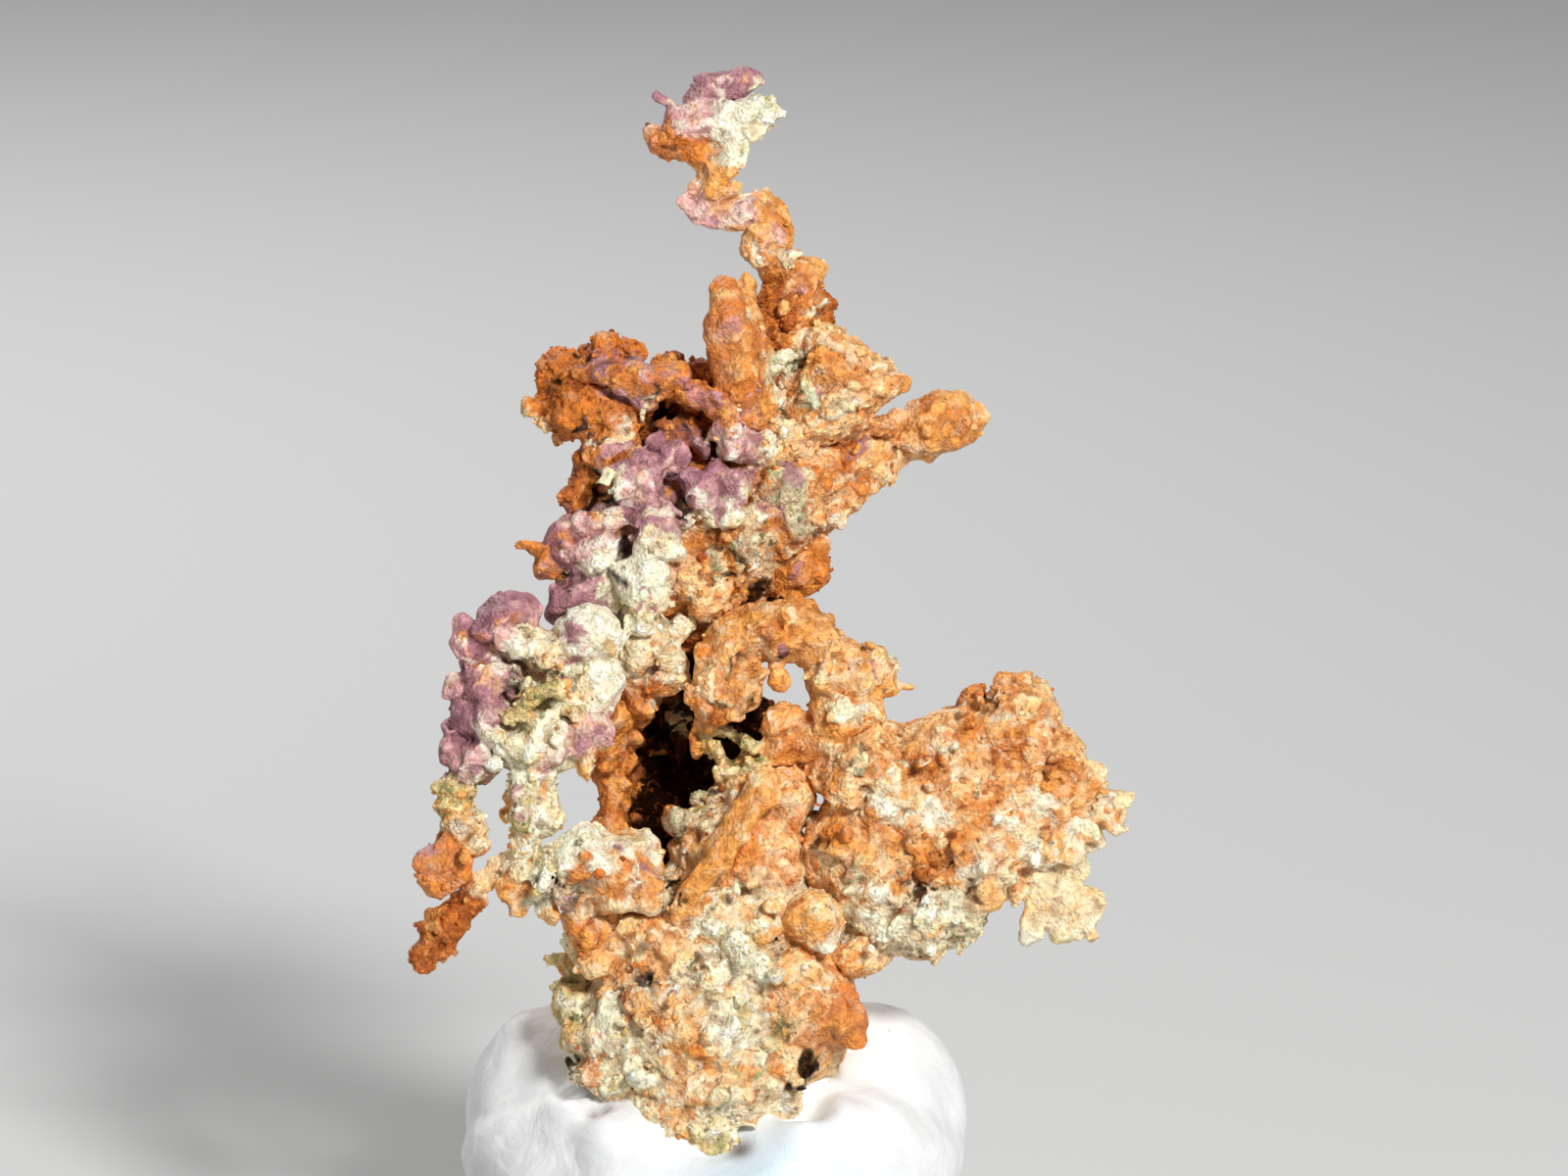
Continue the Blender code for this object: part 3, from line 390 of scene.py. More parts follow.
# Each mineral's colour, how gritty its surface is, and the minerals that fleck it.
MINERALS = {
    # Near-black umber: painted shade in hollows, cracks and pits, and the dark fleck in green crust.
    "shade_umber": ((0.010, 0.003, 0.001), 0.5, ("shade_umber", "shade_umber", "shade_umber")),
    "rust": ((0.36, 0.085, 0.011), 1.0, ("orange", "rust", "golden")),
    "sand": ((0.72, 0.36, 0.125), 1.0, ("orange", "cream", "rust")),
    "ochre": ((0.63, 0.172, 0.012), 0.8, ("rust", "orange", "orange")),
    "orange": ((0.66, 0.195, 0.024), 0.5, ("golden", "rust", "golden")),
    "amber": ((0.62, 0.20, 0.045), 0.05, ("orange", "amber", "golden")),
    "golden": ((0.80, 0.34, 0.07), 0.3, ("orange", "peach", "peach")),
    "honey": ((0.74, 0.29, 0.055), 0.0, ("golden", "peach", "golden")),
    "peach": ((0.93, 0.49, 0.19), 0.7, ("orange", "cream", "golden")),
    "pink": ((0.76, 0.40, 0.37), 0.25, ("mauve", "white", "peach")),
    "mauve": ((0.37, 0.158, 0.188), 0.2, ("pink", "mauve", "mauve")),
    "cream": ((0.88, 0.70, 0.40), 0.8, ("peach", "white", "ash")),
    "ivory": ((0.86, 0.66, 0.37), 0.05, ("white", "cream", "golden")),
    "white": ((0.95, 0.90, 0.73), 0.3, ("cream", "mint", "cream")),
    "mint": ((0.80, 0.83, 0.58), 0.8, ("cream", "white", "straw")),
    "green": ((0.24, 0.27, 0.10), 0.8, ("mint", "straw", "shade_umber")),
    "straw": ((0.60, 0.42, 0.14), 0.9, ("green", "cream", "golden")),
    "ash": ((0.56, 0.47, 0.30), 1.0, ("cream", "green", "rust")),
}
CRUST_VOXEL = 0.13
FOOT_VOXEL = 0.14
PIECE_TRIANGLES = 190000
# Nodules and grains: how many on a square millimetre, and their smallest and largest radius.
NODULES = (0.16, 0.22, 0.6)
GRAINS = (3.9, 0.06, 0.22)
# The smooth noises that buckle a branch: their scale and how far they push.
BUCKLES = ((0.55, 0.45), (1.4, 0.22))
# The patterns that roughen a crust: domes or clouds, their size and height.
WEATHERING = (("VORONOI", 0.9, 0.2), ("VORONOI", 0.42, 0.15), ("CLOUDS", 0.28, 0.16))
DUST_COLOUR = (0.93, 0.84, 0.62)
PORE_COLOUR = (0.22, 0.060, 0.012)
# How deep a crease or a valley is, in millimetres, when its painted shade and rusty brown are deepest.
CREASE_DEPTH = 0.1
VALLEY_DEPTH = 0.5
GRIT_STEPS = 8


def simple_shape(add, **size):
    """The points and triangles of one primitive."""
    bpy.ops.object.select_all(action="DESELECT")
    add(**size)
    shape = bpy.context.object
    bpy.ops.object.mode_set(mode="EDIT")
    bpy.ops.mesh.select_all(action="SELECT")
    bpy.ops.mesh.quads_convert_to_tris()
    bpy.ops.object.mode_set(mode="OBJECT")
    points = read_points(shape.data).copy()
    corners = np.array([tuple(face.vertices) for face in shape.data.polygons])
    bpy.data.objects.remove(shape)
    return points, corners


BUD = simple_shape(bpy.ops.mesh.primitive_ico_sphere_add, subdivisions=2, radius=1.0)
ROUND_GRAIN = simple_shape(bpy.ops.mesh.primitive_ico_sphere_add, subdivisions=1, radius=1.0)
CUBIC_GRAIN = simple_shape(bpy.ops.mesh.primitive_cube_add, size=1.5)


def random_spins(draw, count):
    """That many rotations, as matrices."""
    turns = draw.normal(size=(count, 4))
    turns /= np.linalg.norm(turns, axis=1, keepdims=True)
    x, y, z, w = turns.T
    return np.stack(
        [
            1 - 2 * (y * y + z * z), 2 * (x * y - z * w), 2 * (x * z + y * w),
            2 * (x * y + z * w), 1 - 2 * (x * x + z * z), 2 * (y * z - x * w),
            2 * (x * z - y * w), 2 * (y * z + x * w), 1 - 2 * (x * x + y * y),
        ],
        axis=1,
    ).reshape(count, 3, 3)


def strewn(shape, spots, sizes, spins):
    """A copy of the shape at each spot: all their points and faces."""
    points, corners = shape
    bodies = points[None, :, :] * sizes[:, None, :]
    bodies = np.einsum("nij,nkj->nki", spins, bodies) + spots[:, None, :]
    starts = np.arange(len(spots)) * len(points)
    return bodies.reshape(-1, 3), (corners[None, :, :] + starts[:, None, None]).reshape(-1, 3)


class Growth:
    """The forms that one branch is grown from, each with its mineral."""

    def __init__(self):
        self.forms = []
        self.minerals = []
        self.centres = []
        self.sizes = []
        self.rolls = []
        self.holes = []

    def note(self, mineral, centre, size, roll):
        self.minerals.append(mineral)
        self.centres.append(centre)
        self.sizes.append(size)
        self.rolls.append(math.radians(roll))

    def lumps(self, mineral, *rows):
        """Rounded forms: u, w, v, three half sizes, and a roll."""
        for u, w, v, ru, *rest in rows:
            rw, rv, roll = (*rest, *(None, None, 0.0)[len(rest):])
            self.forms.append(add_ellipsoid(u, w, v, ru, rw, rv, roll))
            self.note(mineral, (u, w, v), (ru, rw or ru, rv or ru), roll)

    def stains(self, mineral, *rows):
        """Patches of another mineral on the skin: u, w, v and radius."""
        for u, w, v, radius in rows:
            self.note(mineral, (u, w, v), (radius,) * 3, 0.0)

    def pits(self, *rows):
        """Holes eaten into the crust, pressed in and painted near-black as the shade inside them: u, w, v
        and radius.
        """
        for u, w, v, radius in rows:
            self.holes.append((u, w, v, 1.5 * radius, radius))
            self.note("shade_umber", (u, w, v), (radius,) * 3, 0.0)

    def limb(self, mineral, *stations):
        """A branch through stations of u, w, v and radius."""
        stops = [Vector(station) for station in stations]
        stops = [stops[0] * 2 - stops[1], *stops, stops[-1] * 2 - stops[-2]]
        for before, start, end, after in zip(stops, stops[1:], stops[2:], stops[3:]):
            gap = (end - start).to_3d().length
            steps = max(1, math.ceil(gap / (0.5 * max(start.w, end.w))))
            for step in range(steps + 1):
                t = step / steps
                bend = (
                    start * 2
                    + (end - before) * t
                    + (before * 2 - start * 5 + end * 4 - after) * t**2
                    + (start * 3 - before - end * 3 + after) * t**3
                ) / 2
                self.forms.append(add_ellipsoid(bend.x, bend.y, bend.z, max(bend.w, 0.12)))
                self.note(mineral, tuple(bend)[:3], (max(bend.w, 0.12),) * 3, 0.0)

    def crystals(self, mineral, *rows):
        """Stubby crystals with flat faces and clipped corners: half sizes, roll and tilt."""
        for u, w, v, ru, rw, rv, roll, tilt in rows:
            bpy.ops.mesh.primitive_cube_add(
                size=2.0, location=(u, w, v), scale=(ru, rw, rv),
                rotation=(math.radians(tilt), -math.radians(roll), 0.0),
            )
            crystal = bpy.context.object
            bpy.ops.object.mode_set(mode="EDIT")
            bpy.ops.mesh.bevel(offset=0.3 * min(ru, rw, rv), segments=1, affect="EDGES")
            bpy.ops.object.mode_set(mode="OBJECT")
            self.forms.append(crystal)
            self.note(mineral, (u, w, v), (ru * 1.2, rw * 1.2, rv * 1.2), roll)

    def buds(self, draw, per_mm2, smallest, largest):
        """Small nodules all over the forms, most where the mineral is gritty."""
        spots, radii = [], []
        for i in range(len(self.minerals)):
            size = np.array(self.sizes[i])
            grit, flecks = MINERALS[self.minerals[i]][1:]
            count = draw.poisson(4.0 * math.pi * size.mean() ** 2 * per_mm2 * (0.15 + grit))
            away = draw.normal(size=(count, 3))
            away *= size / np.linalg.norm(away, axis=1, keepdims=True)
            turn = Matrix.Rotation(-self.rolls[i], 3, "Y")
            away = away @ np.array(turn).T
            for spot in away + np.array(self.centres[i]):
                radius = min(smallest + (largest - smallest) * draw.random() ** 2, 0.5 * size.mean())
                kind = self.minerals[i] if draw.random() < 0.55 else flecks[draw.integers(len(flecks))]
                spots.append(spot)
                radii.append(radius)
                self.note(kind, tuple(spot), (radius,) * 3, 0.0)
        sizes = np.array(radii)[:, None] * (0.7 + 0.5 * draw.random((len(radii), 3)))
        points, corners = strewn(BUD, np.array(spots), sizes, random_spins(draw, len(radii)))
        mesh = bpy.data.meshes.new("buds")
        mesh.from_pydata(points.tolist(), [], corners.tolist())
        nodules = bpy.data.objects.new("buds", mesh)
        bpy.context.scene.collection.objects.link(nodules)
        self.forms.append(nodules)

    def tints(self, points):
        """The colour, fleck colour and grit at each point of the skin."""
        broad = noise_at(points, 0.5)
        wide = noise_at(points, 1.0)
        fine = noise_at(points, 2.9)
        warped = (points + broad * 0.6 + wide * 0.8 + fine * 0.45).astype(np.float32)
        nearness = np.empty((len(points), len(self.minerals)), dtype=np.float32)
        for i, (centre, size, roll) in enumerate(zip(self.centres, self.sizes, self.rolls)):
            away = warped - np.array(centre, dtype=np.float32)
            along = away[:, 0] * math.cos(roll) + away[:, 2] * math.sin(roll)
            across = away[:, 2] * math.cos(roll) - away[:, 0] * math.sin(roll)
            far = np.sqrt((along / size[0]) ** 2 + (away[:, 1] / size[1]) ** 2 + (across / size[2]) ** 2)
            nearness[:, i] = (1.0 - far) * min(size)
        nearest = nearness.argmax(axis=1)
        nearness = np.exp(7.0 * (nearness - nearness.max(axis=1, keepdims=True)))
        nearness /= nearness.sum(axis=1, keepdims=True)
        colours = np.array([MINERALS[mineral][0] for mineral in self.minerals])
        grits = np.array([MINERALS[mineral][1] for mineral in self.minerals])
        flecks = np.array(
            [[MINERALS[fleck][0] for fleck in MINERALS[mineral][2]] for mineral in self.minerals]
        )
        pick = np.clip(1.5 + 3.2 * wide[:, 0], 0.0, 2.9).astype(int)
        fleck = flecks[nearest, pick]
        second = flecks[nearest, np.clip(1.5 + 3.2 * broad[:, 1], 0.0, 2.9).astype(int)]
        share = np.clip(2.0 * broad[:, 2] + 0.7 * fine[:, 1], 0.0, 0.75)[:, None]
        return (nearness @ colours) * (1.0 - share) + second * share, fleck, nearness @ grits


# A fixed start for the noise, so that every run grows the same crust.
noise.seed_set(1)


def noise_at(points, scale):
    """Three smooth noises at each point."""
    return np.array([noise.noise_vector(Vector(point) * scale) for point in points.tolist()])


def scatter_grains(piece, skin_tints, draw, per_mm2, smallest, largest):
    """Sets grains in the skin, most where it is gritty. Returns points, faces, colours and flecks."""
    mesh = piece.data
    mesh.calc_loop_triangles()
    corners = np.array([tuple(triangle.vertices) for triangle in mesh.loop_triangles])
    skin = read_points(mesh)
    a, b, c = (skin[corners[:, i]] for i in range(3))
    cross = np.cross(b - a, c - a)
    area = np.linalg.norm(cross, axis=1)
    room = (PIECE_TRIANGLES - len(corners)) // len(ROUND_GRAIN[1])
    count = min(int(area.sum() / 2.0 * per_mm2), room)
    chosen = draw.choice(len(corners), size=count, p=area / area.sum())
    kept = draw.random(count) < skin_tints[2][corners[chosen, 0]] ** 1.5
    chosen = chosen[kept]
    count = len(chosen)
    s, t = np.sqrt(draw.random(count)), draw.random(count)
    spots = (1 - s)[:, None] * a[chosen] + (s * (1 - t))[:, None] * b[chosen] + (s * t)[:, None] * c[chosen]
    normals = cross[chosen] / area[chosen][:, None]
    colours, flecks = (tint[corners[chosen, 0]] for tint in skin_tints[:2])
    radii = smallest + (largest - smallest) * draw.random(count) ** 3
    sizes = radii[:, None] * (0.6 + 0.6 * draw.random((count, 3)))
    spins = random_spins(draw, count)
    kind = draw.random((count, 1))
    colours = np.where(kind < 0.35, flecks, colours) * (0.8 + 0.35 * draw.random((count, 1)))
    pale = (kind > 0.90) & (colours[:, 1:2] > 0.3)
    colours = np.where(pale, MINERALS["cream"][0], colours)
    colours = np.where(kind > 0.97, MINERALS["rust"][0], colours)
    spots = spots + normals * (0.15 * radii)[:, None]
    cubic = draw.random(count) < 0.45
    made = []
    start = 0
    for mine, shape in ((~cubic, ROUND_GRAIN), (cubic, CUBIC_GRAIN)):
        points, faces = strewn(shape, spots[mine], sizes[mine], spins[mine])
        each = len(shape[0])
        paints = (np.repeat(tint[mine], each, axis=0) for tint in (colours, flecks))
        made.append((points, faces + start, *paints))
        start += len(points)
    return [np.concatenate(parts) for parts in zip(*made)]


def depth_below(piece, rounds):
    """How far each point of the skin lies below its smoothed surroundings, in millimetres."""
    before = read_points(piece.data)
    normals = read_normals(piece.data)
    smooth_copy = piece.copy()
    smooth_copy.data = piece.data.copy()
    bpy.context.scene.collection.objects.link(smooth_copy)
    bpy.ops.object.select_all(action="DESELECT")
    smooth_copy.select_set(True)
    bpy.context.view_layer.objects.active = smooth_copy
    soft = smooth_copy.modifiers.new("Soft", "SMOOTH")
    soft.factor = 1.0
    soft.iterations = rounds
    bpy.ops.object.modifier_apply(modifier=soft.name)
    after = read_points(smooth_copy.data)
    bpy.data.objects.remove(smooth_copy)
    bpy.ops.object.select_all(action="DESELECT")
    piece.select_set(True)
    bpy.context.view_layer.objects.active = piece
    return np.einsum("ij,ij->i", after - before, normals)


def crust_material(name):
    """Crust: each mineral flecked with its companions, with pale dust and dark pores.

    Smooth minerals have less of the flecks and pores, and dark ones have no dust and no shine.
    """
    crust = Finish(name)
    mottle = crust.cloud(1300.0, 6.0, 0.70, 0.6)
    grit = crust.attribute("grit", "Fac")
    patches = crust.levels(mottle, 0.45, 0.58, 0.0, 0.72)
    patches = crust.product(patches, crust.levels(grit, 0.0, 0.5, 0.55, 1.0))
    colour = crust.mixed(patches, crust.attribute("tint", "Color"), crust.attribute("fleck", "Color"))
    grain = crust.cloud(4200.0, 4.0, 0.65)
    colour = crust.shaded(colour, crust.levels(grain, 0.3, 0.7, 0.62, 1.3))
    paleness = crust.attribute("tint", "Fac")
    dust = crust.levels(crust.cloud(900.0, 7.0, 0.68), 0.51, 0.63, 0.0, 0.62)
    dust = crust.product(dust, crust.levels(paleness, 0.2, 0.6, 0.0, 1.0))
    colour = crust.mixed(dust, colour, DUST_COLOUR)
    pores = crust.levels(crust.cloud(2100.0, 4.0, 0.7, 0.8), 0.35, 0.42, 0.7, 0.0)
    pores = crust.product(pores, crust.levels(grit, 0.0, 0.6, 0.2, 1.0))
    colour = crust.mixed(pores, colour, PORE_COLOUR)
    crust.links.new(colour, crust.surface.inputs["Base Color"])
    gloss = crust.levels(grain, 0.35, 0.65, 0.42, 0.8)
    crust.links.new(gloss, crust.surface.inputs["Roughness"])
    shine = crust.levels(paleness, 0.0, 0.2, 0.0, 0.4)
    crust.links.new(shine, crust.surface.inputs["Specular IOR Level"])
    pitting = crust.relief(crust.cells(5200.0), 0.7, 0.00014)
    wear = crust.relief(mottle, 0.6, 0.0003, pitting)
    crust.links.new(wear, crust.surface.inputs["Normal"])
    return crust.material


def grit_group(piece, grits):
    """A vertex group that lets the finest weathering act on gritty minerals most."""
    group = piece.vertex_groups.new(name="grit")
    steps = np.clip(np.round(grits * GRIT_STEPS), 1, GRIT_STEPS).astype(int)
    for step in range(1, GRIT_STEPS + 1):
        group.add(np.flatnonzero(steps == step).tolist(), step / GRIT_STEPS, "REPLACE")
    return group.name


def buckle(piece, scale, reach):
    """Pushes the whole skin about by a smooth noise, so that nothing stays round."""
    points = read_points(piece.data)
    write_points(piece.data, points + noise_at(points, scale) * reach)


def crease_shade_and_rust(piece):
    """Painted shade darkening the skin in its creases and valleys, painted light on its ridges, and a rusty
    brown in the hollows: a factor for each colour.
    """
    creases = np.clip(depth_below(piece, 8) / CREASE_DEPTH, -0.5, 1.0)
    valleys = np.clip(depth_below(piece, 60) / VALLEY_DEPTH, -0.5, 1.0)
    shade = (1.0 - 0.3 * creases) * (1.0 - 0.3 * valleys)
    warm = (0.5 * np.clip(creases, 0.0, 1.0) + 0.4 * np.clip(valleys, 0.0, 1.0))[:, None]
    return shade[:, None] * (1.0 - warm * np.array([0.1, 0.35, 0.5]))


def finish_branch(growth, name, node, seed, voxel=CRUST_VOXEL):
    """Fuses a branch, roughens it, strews it with grains and puts it in its place on the frame."""
    draw = np.random.default_rng(seed)
    growth.buds(draw, *NODULES)
    piece = fused(growth.forms, name, voxel, 2)
    skin_tints = growth.tints(read_points(piece.data))
    group = grit_group(piece, skin_tints[2])
    for scale, reach in BUCKLES:
        buckle(piece, scale, reach)
    for pattern, size, height in WEATHERING:
        weather(piece, pattern, size, height, group)
    press(piece, growth.holes)
    skin = read_points(piece.data)
    # Painted shade darkens the creases and valleys and painted light brightens the ridges, with rusty brown
    # in the hollows.
    shade = crease_shade_and_rust(piece)
    skin_tints = (skin_tints[0] * shade, skin_tints[1] * shade, skin_tints[2])
    piece.data.calc_loop_triangles()
    faces = np.array([tuple(triangle.vertices) for triangle in piece.data.loop_triangles])
    grains = scatter_grains(piece, skin_tints, draw, *GRAINS)
    points = np.concatenate([skin, grains[0]])
    triangles = np.concatenate([faces, grains[1] + len(skin)])
    mesh = bpy.data.meshes.new(name)
    mesh.from_pydata(points.tolist(), [], triangles.tolist())
    mesh.polygons.foreach_set("use_smooth", np.arange(len(triangles)) < len(faces))
    paint(mesh, "tint", np.concatenate([skin_tints[0], grains[2]]))
    paint(mesh, "fleck", np.concatenate([skin_tints[1], grains[3]]))
    grits = np.concatenate([skin_tints[2], np.ones(len(grains[0]))])
    paint(mesh, "grit", np.repeat(grits[:, None], 3, axis=1))
    mesh.update()
    piece.vertex_groups.clear()
    piece.data = mesh
    piece.matrix_world = TO_PLACE
    bpy.ops.object.transform_apply(location=True, rotation=True, scale=True)
    piece.data.materials.append(crust_material(name.replace("_", " ")))
    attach(piece, "root")
    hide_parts(node)


foot = Growth()
foot.lumps(
    "cream",
    (0.0, -0.8, 14.6, 6.4, 5.6, 5.4), (0.2, -1.8, 11.3, 4.6, 4.6, 2.9), (0.1, -2.6, 9.6, 3.2, 3.2, 1.8),
    (-2.4, -4.5, 10.3, 1.3, 1.0, 1.1), (-1.4, -4.9, 9.6, 1.1, 0.9, 0.8), (1.9, -4.8, 10.0, 0.9, 0.8, 0.8),
    (0.8, -0.8, 19.4, 6.0, 4.8, 3.6), (-4.0, -1.2, 14.2, 3.0, 4.2, 3.4),
    (-4.9, -4.2, 14.4, 0.8, 1.0, 2.4, 3), (-4.8, -4.0, 11.6, 1.1, 1.2, 0.8),
    (-6.4, -3.2, 12.2, 0.9, 1.0, 0.7), (0.2, -5.6, 17.0, 0.9, 0.7, 1.0), (2.9, -4.9, 11.6, 1.0, 0.9, 0.8),
    (0.5, -5.1, 9.5, 0.9, 0.9, 0.8), (-6.9, -3.0, 18.8, 0.55, 0.7, 0.75), (-0.2, -2.6, 25.0, 1.0, 1.1, 0.9),
    (-2.0, 4.0, 16.5, 2.2, 1.6, 2.4), (4.8, 2.8, 18.4, 1.8, 1.5, 1.8),
)
foot.lumps(
    "peach",
    (1.6, -1.4, 23.0, 3.4, 3.4, 3.2), (2.8, -1.4, 26.2, 2.6, 2.6, 2.2), (4.2, -1.4, 15.6, 3.2, 4.6, 4.0),
    (-4.8, -1.6, 18.4, 2.2, 3.2, 2.0), (-2.8, -1.6, 17.8, 3.6, 3.7, 3.2),
    (-3.2, -4.3, 19.4, 1.6, 1.0, 0.95, 8), (-3.9, -4.2, 17.8, 0.8), (-1.4, -4.9, 18.2, 0.9, 0.8, 0.8),
    (3.9, -5.0, 17.2, 1.1, 0.9, 1.0), (2.9, -4.9, 19.6, 0.9, 0.8, 0.9), (0.2, -5.4, 12.0, 1.2, 0.8, 1.0),
    (-1.4, -5.3, 12.6, 0.9, 0.7, 0.9), (3.7, -4.6, 12.9, 1.3, 1.0, 1.2), (5.2, -4.8, 20.0, 1.5, 1.4, 1.6),
)
foot.lumps(
    "mint",
    (1.4, -5.5, 18.4, 1.1, 0.8, 1.1), (0.6, -5.2, 19.8, 0.9, 0.8, 0.8), (2.6, -5.3, 17.4, 0.7, 0.7, 0.8),
    (-2.9, -4.8, 12.2, 1.1, 0.8, 0.7), (3.0, 3.6, 14.0, 2.4, 1.6, 2.2),
)
foot.lumps(
    "straw",
    (-7.2, -2.4, 15.7, 0.85, 1.0, 1.1), (-6.8, -3.0, 14.1, 0.7, 0.9, 0.7), (3.2, -5.2, 13.8, 0.8, 0.7, 0.8),
    (1.6, -5.2, 12.4, 1.0, 0.8, 0.8), (-0.3, -5.0, 8.9, 1.0, 0.8, 0.8), (0.8, -5.0, 8.7, 0.8, 0.8, 0.7),
    (0.2, -2.6, 26.4, 0.5, 0.6, 0.6),
)
foot.lumps(
    "orange",
    (-6.0, -4.0, 19.6, 0.95, 1.0, 0.9), (-5.7, -3.9, 12.4, 0.9, 0.9, 0.9),
    (-0.6, -5.0, 10.9, 1.3, 0.9, 0.7), (-1.8, -2.2, 25.0, 0.65, 0.8, 0.8), (0.5, 4.0, 19.8, 2.4, 1.4, 1.8),
    (-4.2, 2.6, 13.0, 1.6, 1.6, 1.8), (2.4, 1.8, 23.6, 2.2, 1.6, 1.8),
)
foot.lumps("rust", (-3.4, -4.9, 15.6, 0.9, 0.8, 1.5, -8), (-2.2, -5.2, 16.6, 0.8, 0.6, 1.0))
foot.lumps("golden", (-0.9, -5.7, 14.4, 1.1, 0.8, 1.3, 12), (-5.6, -4.0, 17.8, 1.0, 1.0, 0.9))
foot.lumps(
    "white",
    (0.9, -5.8, 14.6, 1.0, 0.7, 1.0), (5.9, -5.5, 19.0, 0.6, 0.6, 0.6), (1.6, -2.7, 26.1, 1.0, 1.0, 0.9),
)
foot.lumps(
    "ash",
    (3.9, -5.0, 15.0, 0.9, 0.7, 1.1), (-1.4, -3.5, 24.9, 0.7, 0.8, 0.8), (0.3, -3.5, 24.5, 0.8, 0.8, 0.7),
    (2.2, -3.8, 21.8, 1.0, 1.0, 1.2),
)
foot.crystals(
    "amber",
    (6.0, -4.3, 15.2, 0.95, 1.2, 1.0, 14, 0), (6.9, -3.9, 14.6, 0.8, 1.0, 0.9, -5, 10),
    (5.3, -4.5, 14.2, 0.8, 0.9, 0.8, 30, 0), (6.8, -3.8, 16.1, 0.6, 0.8, 0.7, 20, 0),
)
foot.stains(
    "orange",
    (4.4, -5.6, 20.8, 0.8), (-2.6, -5.4, 19.8, 0.9), (1.9, -4.8, 23.6, 0.9), (4.0, -6.0, 16.4, 0.6),
    (-0.4, -6.4, 13.2, 0.7), (2.2, -5.8, 11.2, 0.6), (-4.2, -5.2, 13.0, 0.5), (-0.6, -5.5, 10.8, 0.8),
    (4.8, -5.2, 17.8, 0.5), (-1.6, -5.6, 11.6, 0.6), (-2.6, -5.8, 14.4, 0.7), (-2.2, -5.4, 10.6, 0.5),
    (-6.0, -4.6, 16.6, 0.5), (5.2, -6.0, 19.8, 0.4), (-5.8, -4.2, 13.2, 0.6), (1.8, -5.2, 21.8, 0.6),
)
foot.stains(
    "peach",
    (-3.6, -5.2, 18.8, 1.4), (-2.4, -5.9, 15.6, 1.1), (-0.8, -6.4, 14.4, 1.0), (1.8, -6.0, 12.6, 0.8),
    (3.4, -5.9, 16.4, 0.9), (0.4, -6.0, 11.8, 0.9), (2.0, -5.6, 20.6, 1.1), (0.1, -6.2, 17.4, 0.6),
    (3.2, -5.4, 12.6, 0.8), (-1.2, -5.4, 9.9, 0.8), (-0.6, -5.6, 18.9, 0.8), (-6.4, -4.0, 17.4, 0.7),
)
foot.stains(
    "mint",
    (2.2, -6.0, 19.0, 1.2), (-3.6, -5.4, 12.0, 0.9), (2.6, -6.1, 17.2, 1.0), (2.2, -6.1, 15.4, 1.0),
    (0.2, -5.6, 19.9, 1.0), (1.2, -5.4, 21.2, 0.7), (-4.0, -5.4, 14.0, 0.7), (0.9, -5.6, 9.0, 0.8),
    (2.6, -5.6, 13.2, 0.7), (-6.9, -3.6, 15.4, 0.8), (-4.6, -5.2, 14.6, 0.5),
)
foot.stains(
    "white",
    (-4.9, -5.2, 15.6, 1.0), (-4.8, -5.1, 12.8, 0.8), (0.9, -6.6, 14.8, 0.9), (-2.9, -5.6, 16.9, 0.5),
    (0.8, -6.2, 18.3, 1.1), (-5.3, -4.8, 11.4, 0.6), (1.2, -6.3, 16.9, 0.8), (5.8, -6.1, 18.9, 0.6),
    (7.4, -4.6, 19.4, 0.7), (-4.9, -5.2, 14.2, 0.7), (3.4, -5.6, 20.6, 0.5),
)
foot.stains("green", (2.3, -6.3, 14.8, 0.5), (3.9, -5.7, 14.4, 0.4), (-3.4, -5.6, 12.2, 0.3))
# Near-black painted shade in the cracks and slits of the foot.
foot.stains(
    "shade_umber",
    (4.9, -4.6, 12.0, 0.9), (3.6, -5.6, 18.6, 0.3), (4.6, -5.4, 16.4, 0.25), (-6.9, -3.2, 12.9, 0.6),
    (-1.9, -4.4, 22.6, 0.8), (-2.0, -4.8, 21.4, 0.7), (-2.3, -5.2, 20.4, 0.45), (1.6, -5.3, 9.2, 0.4),
)
foot.stains(
    "honey",
    (4.6, -5.8, 20.4, 1.0), (5.4, -6.0, 19.4, 0.8), (-0.2, -6.2, 13.6, 0.6), (-3.6, -5.2, 19.4, 0.8),
)
foot.stains(
    "mauve",
    (-5.9, -4.4, 13.8, 0.3), (-6.3, -3.9, 12.5, 0.35), (-1.2, -5.5, 11.4, 0.3), (-3.6, -5.6, 19.6, 0.3),
)
foot.pits(
    (-3.3, -5.4, 17.1, 0.45), (-0.1, -5.9, 15.8, 0.25), (4.7, -4.8, 12.4, 0.6), (1.9, -6.0, 16.3, 0.25),
    (-2.6, -5.6, 14.0, 0.25), (-5.7, -4.4, 16.4, 0.35), (3.4, -5.4, 18.7, 0.3), (-1.9, -5.0, 20.7, 0.35),
    (-0.8, -3.9, 24.3, 0.4), (0.7, -3.2, 26.4, 0.35), (-4.4, -4.6, 16.4, 0.25), (1.2, -5.8, 13.4, 0.2),
    (3.9, -5.2, 15.9, 0.3), (-2.0, -5.4, 13.2, 0.2), (0.9, -5.9, 17.8, 0.2), (-1.9, -5.0, 21.8, 0.5),
    (-1.7, -4.8, 22.9, 0.5), (1.9, -5.2, 9.4, 0.5), (-5.4, -4.4, 11.6, 0.3), (-2.1, -5.2, 20.9, 0.35),
    (-1.4, -4.4, 23.9, 0.35),
)
foot.limb("straw", (-7.7, -1.8, 17.8, 0.5), (-7.1, -1.8, 17.1, 0.28), (-6.4, -1.8, 16.9, 0.5))
